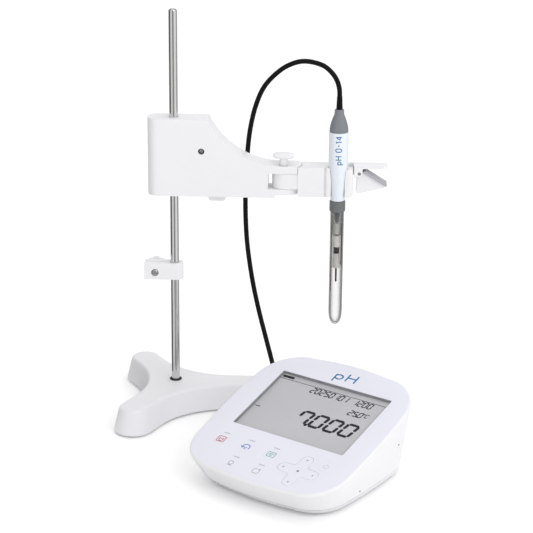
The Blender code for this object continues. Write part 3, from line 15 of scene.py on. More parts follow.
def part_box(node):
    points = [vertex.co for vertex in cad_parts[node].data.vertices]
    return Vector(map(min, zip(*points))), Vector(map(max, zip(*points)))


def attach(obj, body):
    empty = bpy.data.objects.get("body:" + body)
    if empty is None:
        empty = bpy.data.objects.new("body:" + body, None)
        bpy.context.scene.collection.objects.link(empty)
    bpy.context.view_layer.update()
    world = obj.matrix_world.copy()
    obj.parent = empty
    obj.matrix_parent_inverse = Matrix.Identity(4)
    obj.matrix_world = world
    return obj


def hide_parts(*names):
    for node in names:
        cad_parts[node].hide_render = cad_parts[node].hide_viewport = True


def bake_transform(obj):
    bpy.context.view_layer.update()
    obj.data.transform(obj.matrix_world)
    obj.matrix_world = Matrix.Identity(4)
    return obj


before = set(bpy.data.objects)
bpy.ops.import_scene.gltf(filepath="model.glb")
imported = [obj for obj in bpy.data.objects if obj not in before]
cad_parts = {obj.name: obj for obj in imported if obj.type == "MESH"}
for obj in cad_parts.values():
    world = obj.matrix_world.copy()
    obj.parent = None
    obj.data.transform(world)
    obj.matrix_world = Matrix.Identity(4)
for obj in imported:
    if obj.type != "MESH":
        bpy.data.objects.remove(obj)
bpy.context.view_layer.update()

MM = 0.001
rod_low, rod_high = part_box("stand_rod")
ROD = Vector(((rod_low[0] + rod_high[0]) / 2, (rod_low[1] + rod_high[1]) / 2, 0))
print("rod stands at", [round(v, 4) for v in ROD], "and reaches", round(rod_high[2], 3), "m")

# %% [markdown]
# ## Three places to measure from
# The stand is measured in millimetres from the foot of its rod. The meter stands beside it, turned on the
# table, and its panel slopes towards the user, so the meter and the panel each get a frame of their own.

# %% Local frames, in millimetres
PANEL_HEIGHT = 52.6
PANEL_SLOPE = 17.2
STAND = Matrix.Translation(ROD) @ Matrix.Scale(MM, 4)
METER = STAND @ Matrix.Translation((125.5, -157.5, 0)) @ Matrix.Rotation(math.radians(-34), 4, "Z")
PANEL = METER @ Matrix.Translation((0, 0, PANEL_HEIGHT)) @ Matrix.Rotation(math.radians(PANEL_SLOPE), 4, "X")
SLOPE = math.tan(math.radians(PANEL_SLOPE))

# %% [markdown]
# ## The camera
# It stands about a metre and a half away and looks down nineteen degrees with a long lens, which keeps the
# upright rod nearly parallel to the picture's side. It could be turned by Euler angles, but it leans half a
# degree to one side, so it is built from its place and its three axes, which keeps the lean easy to read.

# %% Camera
pitch, yaw, roll = (math.radians(angle) for angle in (19.0, -2.0, 0.5))
eye = STAND @ Vector((144.09, -1620.5, 700.82))
ahead = Vector((math.sin(yaw) * math.cos(pitch), math.cos(yaw) * math.cos(pitch), -math.sin(pitch)))
level = Vector((math.cos(yaw), -math.sin(yaw), 0))
above = level.cross(ahead)
right = level * math.cos(roll) + above * math.sin(roll)
upward = above * math.cos(roll) - level * math.sin(roll)
lens = bpy.data.cameras.new("camera")
lens.sensor_width = 36.0
lens.lens = 121.6
camera = bpy.data.objects.new("camera", lens)
camera.matrix_world = Matrix((
    (right.x, upward.x, -ahead.x, eye.x),
    (right.y, upward.y, -ahead.y, eye.y),
    (right.z, upward.z, -ahead.z, eye.z),
    (0, 0, 0, 1),
))
bpy.context.scene.collection.objects.link(camera)
bpy.context.scene.camera = camera
print("camera at", [round(v, 3) for v in eye], "lens", round(lens.lens, 1), "mm")

# %% [markdown]
# ## Writing shader maths as sums
# A finish is easier to read as an expression than as a web of nodes. `Signal` wraps one output socket, and
# adding or multiplying signals adds the Math nodes. `Graph` is a node tree with one method that makes any
# other node: it sets the node's settings first and then fills its sockets. `Recipe` is the graph of one
# material.

# %% Shader helpers
class Signal:
    """One output socket of a graph. Arithmetic on it adds Math nodes."""

    def __init__(self, graph, socket):
        self.graph = graph
        self.socket = socket

    def sibling(self, output):
        return Signal(self.graph, self.socket.node.outputs[output])

    def maths(self, operation, first, second):
        return self.graph.node("ShaderNodeMath", {"operation": operation}, {0: first, 1: second})

    def __add__(self, other):
        return self.maths("ADD", self, other)

    def __sub__(self, other):
        return self.maths("SUBTRACT", self, other)

    def __rsub__(self, other):
        return self.maths("SUBTRACT", other, self)

    def __mul__(self, other):
        return self.maths("MULTIPLY", self, other)

    def __truediv__(self, other):
        return self.maths("DIVIDE", self, other)

    def __pow__(self, other):
        return self.maths("POWER", self, other)

    __radd__ = __add__
    __rmul__ = __mul__


class Graph:
    """A node tree, of a material or of the sky."""

    def __init__(self, tree):
        self.tree = tree

    def node(self, kind, settings=None, inputs=None, output=0):
        made = self.tree.nodes.new(kind)
        for key, value in (settings or {}).items():
            if key == "stops":
                while len(made.color_ramp.elements) < len(value):
                    made.color_ramp.elements.new(0.5)
                for stop, (place, colour) in zip(made.color_ramp.elements, value):
                    stop.position = place
                    stop.color = (*colour, 1) if len(colour) == 3 else colour
            else:
                setattr(made, key, value)
        for key, value in (inputs or {}).items():
            self.feed(made.inputs[key], value)
        return Signal(self, made.outputs[output])

    def feed(self, socket, value):
        if isinstance(value, Signal):
            self.tree.links.new(value.socket, socket)
        elif isinstance(value, tuple) and len(value) == 3 and socket.type == "RGBA":
            socket.default_value = (*value, 1)
        else:
            socket.default_value = value

    def mix(self, share, first, second):
        return self.node("ShaderNodeMix", {"data_type": "RGBA"}, {0: share, 6: first, 7: second}, output=2)


class Recipe(Graph):
    """A material made from its Principled shader outwards."""

    def __init__(self, name, **constants):
        self.material = bpy.data.materials.new(name)
        self.material.use_nodes = True
        super().__init__(self.material.node_tree)
        self.shader = self.tree.nodes["Principled BSDF"]
        for socket, value in constants.items():
            self.put(socket.replace("_", " "), value)

    def put(self, name, value):
        self.feed(self.shader.inputs[name], value)

    def place(self):
        return self.node("ShaderNodeTexCoord", output="Object")

    def stretched(self, scale):
        return self.node("ShaderNodeMapping", {"vector_type": "POINT"}, {"Vector": self.place(), "Scale": scale})

    def noise(self, scale, detail=2.0, vector=None):
        source = self.place() if vector is None else vector
        return self.node("ShaderNodeTexNoise", None, {"Vector": source, "Scale": scale, "Detail": detail})

    def bump(self, height, strength, distance):
        self.put("Normal", self.node("ShaderNodeBump", None,
                                     {"Height": height, "Strength": strength, "Distance": distance}))


print("ready to write finishes:", ", ".join(maker.__name__ for maker in (Signal, Graph, Recipe)))

# %% [markdown]
# ## Moulded plastic
# Most of the set is injection-moulded plastic. Its tool is spark-eroded, which leaves a fine even grain
# that breaks up reflections, and the colour drifts by a hair where the melt cooled at a different rate. A
# fine noise makes the grain, a wide one the drift, and the same wide noise shifts the gloss a little.

# %% Plastic finishes
def moulded(name, colour, roughness, grain=0.12, drift=0.03, grain_scale=1600.0, gloss=0.45):
    recipe = Recipe(name, Specular_IOR_Level=gloss)
    wide = recipe.noise(26.0, 3.0)
    shade = tuple(max(0.0, part * (1 - drift)) for part in colour)
    recipe.put("Base Color", recipe.mix(wide, shade, colour))
    recipe.put("Roughness", roughness - 0.05 + wide * 0.1)
    recipe.bump(recipe.noise(grain_scale, 1.0), grain, 0.0001)
    return recipe.material


WHITE = moulded("white_plastic", (0.79, 0.79, 0.805), 0.42)
PALE = moulded("pale_plastic", (0.8, 0.81, 0.84), 0.4)
CASE = moulded("case_plastic", (0.79, 0.79, 0.81), 0.45)
PANEL_SKIN = moulded("panel_skin", (0.745, 0.745, 0.82), 0.36, grain=0.05)
GREY = moulded("grey_plastic", (0.28, 0.3, 0.325), 0.45)
PAD_GREY = moulded("pad_grey", (0.4, 0.4, 0.43), 0.55, grain=0.3)
DARK = moulded("dark_plastic", (0.012, 0.012, 0.014), 0.5)
RUBBER = moulded("rubber", (0.003, 0.003, 0.0034), 0.4, grain=0.25, drift=0.3, gloss=0.16)
BOARD = moulded("solder_mask", (0.03, 0.16, 0.06), 0.4)
print("plastic finishes:", ", ".join(material.name for material in bpy.data.materials))

# %% [markdown]
# ## Drawn and turned steel
# A stainless rod is ground along its length, so its scratches run upwards: noise that is stretched along
# the rod shifts both its brightness and its gloss. Turned pieces get the same finish without the stretch.

# %% Metal finishes
def metal(name, colour, roughness, stretch):
    recipe = Recipe(name, Metallic=1.0)
    streaks = recipe.noise(1.0, 4.0, recipe.stretched(stretch))
    dark = tuple(part * 0.72 for part in colour)
    recipe.put("Base Color", recipe.mix(streaks, dark, colour))
    recipe.put("Roughness", roughness + streaks * 0.16)
    recipe.bump(streaks, 0.08, 0.0001)
    return recipe.material


ROD_STEEL = metal("ground_steel", (0.76, 0.76, 0.755), 0.07, (2600.0, 2600.0, 9.0))
STEEL = metal("turned_steel", (0.66, 0.66, 0.67), 0.22, (700.0, 700.0, 700.0))
BRASS = metal("brass", (0.7, 0.52, 0.24), 0.3, (500.0, 500.0, 500.0))
print("metal finishes:", ", ".join(material.name for material in (ROD_STEEL, STEEL, BRASS)))

# %% [markdown]
# ## Outlines and bodies
# Nearly every piece of this set is either a moulding with one outline or a turned piece. Both could be
# drawn with curves, but a loft through rings of points makes them all: two equal rings give a prism, and
# rings that go round an axis give a turned body.

# %% Outlines, lofts and turned bodies
def arc(middle, radius, start, end, steps):
    """Points of an arc, with angles in degrees."""
    spread = [math.radians(start + (end - start) * step / steps) for step in range(steps + 1)]
    return [(middle[0] + radius * math.cos(a), middle[1] + radius * math.sin(a)) for a in spread]


def loft(rings, closed=False):
    """A body through rings of equal length. A closed one joins its last ring to its first."""
    body = bmesh.new()
    rows = [[body.verts.new(point) for point in ring] for ring in rings]
    pairs = list(zip(rows, rows[1:]))
    if closed:
        pairs.append((rows[-1], rows[0]))
    for low, high in pairs:
        for i in range(len(low)):
            j = (i + 1) % len(low)
            body.faces.new((low[i], low[j], high[j], high[i]))
    if not closed:
        body.faces.new(rows[0][::-1])
        body.faces.new(rows[-1])
    return body


def prism(outline, low, high):
    return loft([[(x, y, z) for x, y in outline] for z in (low, high)])


def side_prism(outline, near, far):
    return loft([[(x, y, z) for x, z in outline] for y in (near, far)])


def block(low, high):
    return prism([(low[0], low[1]), (high[0], low[1]), (high[0], high[1]), (low[0], high[1])], low[2], high[2])


AXES = {
    "X": Matrix.Rotation(math.radians(90), 4, "Y"),
    "Y": Matrix.Rotation(math.radians(-90), 4, "X"),
    "Z": Matrix(),
}


def spun(profile, steps=64, axis="Z", at=(0, 0, 0), closed=False, reach=None):
    """A turned body from (radius, height) points. reach(angle) can make its outside lobed or knurled."""
    rings = []
    for radius, height in profile:
        ring = []
        for step in range(steps):
            angle = 2 * math.pi * step / steps
            wide = max(radius, 0.001) * (reach(angle) if reach else 1)
            ring.append((wide * math.cos(angle), wide * math.sin(angle), height))
        rings.append(ring)
    body = loft(rings, closed)
    body.transform(Matrix.Translation(at) @ AXES[axis])
    return body


def rod_body(radius, low, high, steps=48, axis="Z", at=(0, 0, 0)):
    return spun([(radius, low), (radius, high)], steps, axis, at)


def rounded(middle, width, height, corner, steps=8):
    """A rectangle's outline with round corners."""
    points = []
    for sx, sy, start in ((1, -1, -90), (1, 1, 0), (-1, 1, 90), (-1, -1, 180)):
        at = (middle[0] + sx * (width / 2 - corner), middle[1] + sy * (height / 2 - corner))
        points += arc(at, corner, start, start + 90, steps)
    return points


def together(*bodies):
    """Several bodies in one, for a cutter or a print."""
    whole = bodies[0]
    for body in bodies[1:]:
        loose = bpy.data.meshes.new("loose")
        body.to_mesh(loose)
        body.free()
        whole.from_mesh(loose)
        bpy.data.meshes.remove(loose)
    return whole


print("turned bodies can stand along", ", ".join(AXES))

# %% [markdown]
# ## Carving and carrying a piece
# Bodies are made in a local frame in millimetres and then moved into the model's own frame, so that their
# own coordinates can carry the finish. Booleans cut the openings and a bevel gives the edges the small
# radius that every moulding has. The modifiers are settled into the mesh, because later steps need its
# final faces.

# %% Carve, soften and carry
def settle(made):
    """Turns an object's modifiers into its mesh."""
    graph = bpy.context.evaluated_depsgraph_get()
    mesh = bpy.data.meshes.new_from_object(made.evaluated_get(graph))
    made.modifiers.clear()
    old = made.data
    made.data = mesh
    bpy.data.meshes.remove(old)


def loose_object(name, body, place):
    mesh = bpy.data.meshes.new(name)
    bmesh.ops.recalc_face_normals(body, faces=body.faces)
    body.transform(place)
    body.to_mesh(mesh)
    body.free()
    made = bpy.data.objects.new(name, mesh)
    bpy.context.scene.collection.objects.link(made)
    return made


def carve(made, steps, place):
    """Cuts, joins or intersects a body with others, in order."""
    tools = []
    for operation, body in steps:
        tool = loose_object("tool", body, place)
        step = made.modifiers.new("carve", "BOOLEAN")
        step.operation = operation
        step.solver = "EXACT"
        step.object = tool
        tools.append(tool)
    settle(made)
    for tool in tools:
        bpy.data.objects.remove(tool)


def piece(name, body, place, rides, material, replaces=(), steps=(), bevel=0.0, smooth=38.0, segments=2):
    """A finished piece: made in a local frame, carved, given soft edges, and carried by a body of the model."""
    made = loose_object(name, body, place)
    if steps:
        carve(made, steps, place)
    if bevel:
        edge = made.modifiers.new("soft_edges", "BEVEL")
        edge.width = bevel * MM
        edge.segments = segments
        edge.limit_method = "ANGLE"
        edge.angle_limit = math.radians(34)
        edge.harden_normals = False
        settle(made)
    made.data.shade_smooth()
    made.data.set_sharp_from_angle(angle=math.radians(smooth))
    made.data.materials.clear()
    made.data.materials.append(material)
    if bevel:
        even = made.modifiers.new("even_shading", "WEIGHTED_NORMAL")
        even.keep_sharp = True
        settle(made)
    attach(made, rides)
    if replaces:
        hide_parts(*([replaces] if isinstance(replaces, str) else replaces))
    return made


def finish_nodes(material, *names):
    """Gives nodes that keep their own shape their finish."""
    for name in names:
        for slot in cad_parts[name].material_slots:
            slot.material = material


# %% [markdown]
# ## The cable's route
# The electrode's lead is one soft black cable, a little under five millimetres thick and about a metre
# long. It springs up out of the cap, arches over the arm, hangs down behind it and reaches the bench behind
# the meter, where its spare length lies in a small coil before it goes to the plug. It is drawn through
# listed points by one smooth curve, so that every stretch below shares the same line.

# %% Cable route
CABLE_RADIUS = 2.3
COIL_AT = (130.5, -19.5)
COIL_RADIUS = 23.2
COIL_START, COIL_END = 235.0, 300.0 + 3 * 360.0
COIL_HIGH, COIL_LOW = 18.0, 3.0
over_the_arm = [
    (153.6, -6.0, 311.3), (153.2, -6.0, 318.0), (151.0, -5.8, 325.5), (146.0, -5.2, 333.0), (137.0, -3.5, 339.6),
    (121.0, 0.0, 342.2), (107.0, 3.5, 337.8), (95.0, 6.0, 329.0), (83.0, 9.0, 314.6), (75.0, 11.8, 294.0),
    (70.2, 13.8, 270.8), (68.0, 15.0, 248.0), (66.8, 15.4, 225.0), (66.4, 15.4, 203.0), (66.8, 15.0, 184.0),
    (68.2, 13.4, 163.0), (71.0, 10.6, 142.0), (75.4, 6.6, 118.0), (81.2, 1.6, 94.0), (88.0, -4.6, 70.0),
    (94.6, -12.6, 48.0), (99.6, -22.0, 31.5), (105.6, -31.0, 21.5),
]
coil = []
for step in range(46):
    share = step / 45
    angle = math.radians(COIL_START + (COIL_END - COIL_START) * share)
    coil.append((COIL_AT[0] + COIL_RADIUS * math.cos(angle), COIL_AT[1] + COIL_RADIUS * math.sin(angle),
                 COIL_HIGH + (COIL_LOW - COIL_HIGH) * share))
PLUG_Y, PLUG_LONG, BOOT_LONG = 82.4, 20.0, 12.0
BOOT_END = PLUG_Y + PLUG_LONG + BOOT_LONG
SOCKET_X, SOCKET_Z = 6.0, 24.0
to_stand = STAND.inverted() @ METER
plug_back = to_stand @ Vector((SOCKET_X, BOOT_END + 0.3, SOCKET_Z))
before_plug = to_stand @ Vector((SOCKET_X, BOOT_END + 9.0, SOCKET_Z - 1.2))
to_the_plug = [(157.6, -32.6, 2.8), (171.0, -24.6, 2.6), (184.0, -18.2, 2.6), (197.5, -18.2, 5.4),
               (207.0, -27.0, 11.6), (209.0, -38.0, 17.6), tuple(before_plug), tuple(plug_back)]


def smooth_line(points, spacing):
    """Evenly spaced points on a smooth curve through the given ones."""
    line = [Vector(point) for point in points]
    line = [line[0] * 2 - line[1]] + line + [line[-1] * 2 - line[-2]]
    fine = []
    for a, b, c, d in zip(line, line[1:], line[2:], line[3:]):
        for step in range(16):
            t = step / 16
            fine.append(0.5 * (2 * b + (c - a) * t + (2 * a - 5 * b + 4 * c - d) * t ** 2
                               + (3 * b - a - 3 * c + d) * t ** 3))
    fine.append(line[-2])
    for _ in range(12):
        fine[1:-1] = [(a + b * 2 + c) / 4 for a, b, c in zip(fine, fine[1:], fine[2:])]
    lengths = [0.0]
    for a, b in zip(fine, fine[1:]):
        lengths.append(lengths[-1] + (b - a).length)
    count = round(lengths[-1] / spacing)
    spaced, at = [], 0
    for step in range(count + 1):
        wanted = lengths[-1] * step / count
        while at < len(fine) - 2 and lengths[at + 1] < wanted:
            at += 1
        share = (wanted - lengths[at]) / max(1e-9, lengths[at + 1] - lengths[at])
        spaced.append(fine[at].lerp(fine[at + 1], min(1.0, share)))
    return spaced, lengths[-1]


cable_line, cable_length = smooth_line(over_the_arm + coil + to_the_plug, 2.8)
print("cable is", round(cable_length / 1000, 3), "m long, on", len(cable_line), "points")

# %% [markdown]
# ## The plug
# The electrode's plug is a bayonet connector: a knurled sleeve turns a quarter turn onto the socket, and a
# soft boot tapers down to the cable behind it. The knurls could be cut one by one, but a turned body whose
# radius waves round the axis has them from the start. The boot is a piece of its own, in rubber.

# %% Plug and its boot
SOCKET = (SOCKET_X, 0, SOCKET_Z)
KNURLS, KNURL_DEPTH = 36, 0.012


def knurled(angle):
    return 1 + KNURL_DEPTH * math.cos(KNURLS * angle)


knurl = [(0, PLUG_Y), (6.6, PLUG_Y), (7.2, 83), (7.2, 93.6), (6.8, 94.4), (5.6, 95.4), (5.6, 102.4), (0, 102.4)]
sleeve = spun(knurl, 144, "Y", SOCKET, reach=knurled)
bayonet = piece("bayonet", sleeve, METER, "stand", STEEL, "plug", smooth=25)
boot = [(0, 102.7), (4.6, 102.7), (4.7, 103.6), (4.3, 105.0), (4.3, 105.8), (3.8, 106.6), (3.9, 107.4),
        (3.4, 108.4), (3.4, 109.2), (3.0, 110.4), (2.8, 114.4), (0, 114.4)]
bayonet_boot = piece("bayonet_boot", spun(boot, 48, "Y", SOCKET), METER, "stand", RUBBER, "plug_boot", smooth=50)
print("plug and boot are", round(boot[-1][1] - knurl[0][1], 1), "mm long")

# %% [markdown]
# ## The cable itself
# One tube would tear when the arm moves, so the same line is cut into stretches, one for each joint it
# spans: up by the electrode, round the holder's pivot, round the rod, and up and down the rod. These four
# stretches are left in the model's frame and ride on no body, so they don't bend when a joint moves. The
# last stretch, with the coil, rides on the stand and stays on the bench. All rings come from one sweep, so
# the stretches meet without a seam.

# %% Cable stretches
def swept_rings(line, radius, sides=16):
    """Rings along a line that don't twist."""
    rings = []
    ahead_of = (line[1] - line[0]).normalized()
    side = ahead_of.orthogonal().normalized()
    for number, point in enumerate(line):
        before = line[max(0, number - 1)]
        after = line[min(len(line) - 1, number + 1)]
        heading = (after - before).normalized()
        side = (side - heading * side.dot(heading)).normalized()
        other = heading.cross(side)
        ring = []
        for step in range(sides):
            angle = 2 * math.pi * step / sides
            ring.append(point + side * radius * math.cos(angle) + other * radius * math.sin(angle))
        rings.append(ring)
    return rings


cable_rings = swept_rings(cable_line, CABLE_RADIUS)


def nearest(target):
    return min(range(len(cable_line)), key=lambda i: (cable_line[i] - Vector(target)).length)


apex = nearest((121.0, 0.0, 342.2))
over = nearest((78.0, 10.6, 302.0))
below = nearest((72.6, 9.2, 132.0))
bench = nearest((99.6, -22.0, 31.5))
stretches = [
    ("cable_spring", 0, apex, "holder", "electrode", apex, 0),
    ("cable_arch", apex, over, "arm", "holder", nearest((92.0, 6.0, 326.0)), apex),
    ("cable_drop", over, below, "carriage", "arm", below, nearest((66.8, 15.4, 222.0))),
    ("cable_hang", below, bench, "stand", "carriage", bench, below),
]


def cable_piece(name, first, last):
    made = loose_object(name, loft(cable_rings[first:last]), STAND)
    made.data.shade_smooth()
    made.data.set_sharp_from_angle(angle=math.radians(60))
    made.data.materials.append(RUBBER)
    path = [STAND @ point for point in cable_line[first:last]]
    length = sum((b - a).length for a, b in zip(path, path[1:]))
    print(name, "is", round(length, 3), "m")
    return made, path, length


for name, first, last, body_a, body_b, start, end in stretches:
    made, path, length = cable_piece(name, first, last + 1)
    STAND @ cable_line[start]
    STAND @ cable_line[end]
    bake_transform(made)
made, path, length = cable_piece("cable_bench", bench, len(cable_line))
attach(made, "stand")
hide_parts("cable", "cable_coil", "cable_lead")

# %% [markdown]
# ## The sky of the studio
# A white object on a white table needs something to draw its edges with. The sky is plain white where the
# camera sees it. For light that scatters off plastic it has a dark side behind the set, which shades the
# sides that face away, and for light that steel and glass mirror it has bands of grey round the compass,
# like cards in a studio. Real cards could stand there, but they would show at other angles.

# %% Sky
BANDS = {-180: 0.04, -168: 0.04, -150: 0.62, -115: 0.95, -96: 0.22, -70: 0.3, -50: 0.97, -8: 0.8, 34: 0.25,
         80: 0.7, 150: 0.45, 170: 0.04}
DARK_SIDE = {-180: 0.25, -165: 0.3, -135: 1.0, 140: 1.0, 165: 0.35}
SKY_STRENGTH = 1.15


def tones(graph, share, greys):
    """A grey ramp round the compass, from a bearing in degrees to its grey."""
    stops = [((angle + 180) / 360, (grey, grey, grey)) for angle, grey in greys.items()]
    return graph.node("ShaderNodeValToRGB", {"stops": stops}, {"Fac": share})


def by_bearing(graph, vector):
    """Plain white to look at, a dark side for scattered light, and bands for light that is mirrored."""
    east = graph.node("ShaderNodeSeparateXYZ", None, {0: vector}, output="X")
    bearing = graph.node("ShaderNodeMath", {"operation": "ARCTAN2"}, {0: east.sibling("Y"), 1: east})
    share = graph.node("ShaderNodeMapRange", None, {"Value": bearing, "From Min": -math.pi, "From Max": math.pi})
    diffuse = graph.node("ShaderNodeLightPath", output="Is Diffuse Ray")
    scattered = graph.mix(diffuse, (1.0, 1.0, 1.0), tones(graph, share, DARK_SIDE))
    return graph.mix(diffuse.sibling("Is Glossy Ray"), scattered, tones(graph, share, BANDS))


sky = bpy.data.worlds.new("studio")
sky.use_nodes = True
air = Graph(sky.node_tree)
background = sky.node_tree.nodes["Background"]
background.inputs["Strength"].default_value = SKY_STRENGTH
air.feed(background.inputs["Color"], by_bearing(air, air.node("ShaderNodeTexCoord", output="Generated")))
bpy.context.scene.world = sky
bpy.context.scene.view_settings.view_transform = "Standard"
print("sky has", len(BANDS), "stops for mirrored light and", len(DARK_SIDE), "for scattered light")

# %% [markdown]
# ## The table
# A wide sheet of white paper. What the steel mirrors is mostly this sheet, because the camera looks down,
# so the same greys are drawn on it too, for mirrored and scattered light only. Two large soft boxes give
# the shapes a direction; more lamps would only flatten them.

# %% Floor and lamps
FLOOR_WIDE = 6000
floor_body = prism(rounded((0, 0), FLOOR_WIDE, FLOOR_WIDE, 400), -4, -0.05)
floor = loose_object("floor", floor_body, Matrix.Scale(MM, 4))
paper = Recipe("floor_paper", Specular_IOR_Level=0.1, Emission_Strength=0.06)
paper_drift = paper.noise(3.0, 2.0)
from_rod = paper.node("ShaderNodeVectorMath", {"operation": "SUBTRACT"}, {0: paper.place(), 1: tuple(ROD)})
cards = by_bearing(paper, from_rod)
white = paper.mix(paper_drift, (0.93, 0.93, 0.93), (0.95, 0.95, 0.95))
paper.put("Base Color", paper.node("ShaderNodeMix", {"data_type": "RGBA", "blend_type": "MULTIPLY"},
                                   {0: 1.0, 6: white, 7: cards}, output=2))
paper.put("Emission Color", cards)
paper.put("Roughness", 0.8 + paper_drift * 0.1)
floor.data.materials.append(paper.material)


def soft_box(name, at, towards, size, power):
    lamp = bpy.data.lights.new(name, "AREA")
    lamp.shape = "RECTANGLE"
    lamp.size, lamp.size_y = size
    lamp.energy = power
    made = bpy.data.objects.new(name, lamp)
    made.location = at
    made.rotation_euler = (Vector(towards) - Vector(at)).to_track_quat("-Z", "Y").to_euler()
    bpy.context.scene.collection.objects.link(made)
    return made


soft_box("key_box", (1.2, -1.4, 1.7), (0, 0, 0.1), (1.0, 1.0), 7.0)
soft_box("top_box", (-0.2, 0.3, 2.0), (0, 0, 0.1), (1.4, 1.4), 2.0)
print("floor is", FLOOR_WIDE * MM, "m wide, under", len(bpy.data.lights), "soft boxes")

# %% [markdown]
# ## The cast base
# Three legs meet under the rod. The real base is one hollow casting with sides that flare outwards and a
# soft edge round its level top, so that a hand can lift it. Its plan is three round ends joined by hollow
# curves, widened ring by ring towards the table.

# %% Base
LEGS = ((0.0, 74.0), (121.3, 68.0), (243.9, 77.0))
LEG_END, WAIST, FLARE = 13.2, 80.0, 5.4
BASE_TOP = 25.0


def leg_outline(widen):
    points = []
    for number, (heading, reach) in enumerate(LEGS):
        turn = math.radians(heading)
        end = (reach * math.cos(turn), reach * math.sin(turn))
        points += arc(end, LEG_END + widen, heading - 90, heading + 90, 24)
        opening = (LEGS[(number + 1) % 3][0] - heading) % 360
        away = (LEG_END + WAIST) / math.sin(math.radians(opening / 2))
        between = math.radians(heading + opening / 2)
        hub = (away * math.cos(between), away * math.sin(between))
        points += arc(hub, WAIST - widen, heading + 270, heading + opening + 90, 20)
    return points


base_profile = [(FLARE - 0.8, 1.6), (FLARE, 2.6), (FLARE * 0.86, 6.0), (FLARE * 0.18, 21.5), (FLARE * 0.1, 22.9),
                (0.0, 24.0), (-0.8, 24.7), (-1.8, BASE_TOP), (-3.0, BASE_TOP)]
base_body = loft([[(x, y, z) for x, y in leg_outline(widen)] for widen, z in base_profile])
base_finish = moulded("cast_base", (0.735, 0.735, 0.76), 0.42, grain=0.3, drift=0.04, grain_scale=900.0)
piece("base_casting", base_body, STAND, "stand", base_finish, "stand_base", smooth=50,
      steps=[("DIFFERENCE", rod_body(4.3, 7, 30))])
print("base reaches", round(max(reach for _, reach in LEGS) + LEG_END + FLARE, 1), "mm from the rod")

# %% [markdown]
# ## The rod
# A ground bar with a rounded top, held from below by a screw, and a thin dark ring that hides its hole.
# Feet, ballast, pins and springs keep the shape that they have in the model and only get their finish here.

# %% Rod, collar and small steel pieces
rod_profile = [(0, 8), (4, 8), (4, 386.4), (3.8, 387.6), (3.2, 388.4), (2.1, 388.8), (0, 389)]
piece("rod", spun(rod_profile), STAND, "stand", ROD_STEEL, "stand_rod")
ring_profile = [(4.2, 25.1), (5.8, 25.1), (5.8, 25.7), (5.3, 26.3), (4.2, 26.3)]
piece("collar", spun(ring_profile, closed=True), STAND, "stand", DARK, "rod_collar")
finish_nodes(RUBBER, "base_foot_1", "base_foot_2", "base_foot_3", "meter_foot_front", "meter_foot_back",
             "cable_boot")
finish_nodes(STEEL, "base_weight", "rod_screw", "lock_plate", "lock_spring", "lever_pin", "pivot_nut", "jaw_pin",
             "clamp_pin", "clamp_spring", "temperature_jack")
print("rod is", rod_profile[-1][1] - rod_profile[0][1], "mm long")

# %% [markdown]
# ## The stopper
# A small split block clamps on the rod and sets how low the arm may come. A screw crosses the split. Its
# slotted steel end shows at the front, and a lobed knob turns it from behind.

# %% Stopper
STOP_LOW, STOP_HIGH, STOP_HALF = 129.3, 145.7, 6.5
SCREW_X, SCREW_Z = -18.6, 136.2
stop_plan = [(-28.8, STOP_HALF), (-28.8, -STOP_HALF)] + arc((1.7, 0), STOP_HALF, -90, 90, 24)
piece("stopper", prism(stop_plan, STOP_LOW, STOP_HIGH), STAND, "stopper", WHITE, "stopper_block", bevel=0.9,
      segments=3, steps=[
          ("DIFFERENCE", rod_body(4.3, 120, 150)),
          ("DIFFERENCE", block((-32, -0.8, 120), (0, 0.8, 150))),
          ("DIFFERENCE", rod_body(3.4, -9, 9, axis="Y", at=(SCREW_X, 0, SCREW_Z))),
      ])
piece("stopper_spindle", spun([(0, -7.2), (2.3, -7.2), (2.9, -6.7), (2.9, 13.8), (0, 13.8)], axis="Y",
                              at=(SCREW_X, 0, SCREW_Z)), STAND, "stopper_knob", STEEL, "stopper_screw",
      steps=[("DIFFERENCE", block((SCREW_X - 4, -9, SCREW_Z - 0.35), (SCREW_X + 4, -6.5, SCREW_Z + 0.35)))])
lobes = [(7.6, 6.8), (8.0, 8.2), (10.2, 9.0), (10.6, 9.8), (10.6, 13.6), (10.1, 14.9), (9.0, 15.7), (3.2, 15.8),
         (3.2, 14.4), (0, 14.4)]
piece("stopper_grip", spun(lobes, 96, "Y", (SCREW_X, 0, SCREW_Z),
                           reach=lambda angle: 0.95 + 0.05 * math.cos(8 * angle)),
      STAND, "stopper_knob", WHITE, "stopper_knob", steps=[
          ("DIFFERENCE", rod_body(3.2, 6, 14.2, axis="Y", at=(SCREW_X, 0, SCREW_Z)))])
print("stopper is", round(STOP_HIGH - STOP_LOW, 1), "mm tall")

# %% [markdown]
# ## The arm
# The housing is one deep moulding, closed by a flat cover at the back. Its top runs level over the rod and
# then sweeps down in one hollow curve to the fork that carries the holder. A round hole is cut where the
# release lever's pin sits, and a dark disc inside it is painted shade for the hole's dark depth. A dish
# under the thumb screw leaves room for two fingers.

# %% Arm housing and cover
ARM_LOW, ARM_HIGH, ARM_LEFT, ARM_HALF = 214.0, 288.0, -24.3, 11.0
SWEEP_X, SWEEP = 100.0, 74.0
PIVOT, FORK, FORK_TOP, FORK_LOW = 102.5, 17.0, 244.7, 216.5
SLOT_LOW, SLOT_HIGH, SLOT_FROM = 222.3, 237.4, 88.5
WALL = 2.5
PIN_X, PIN_Z = 26.3, 257.5


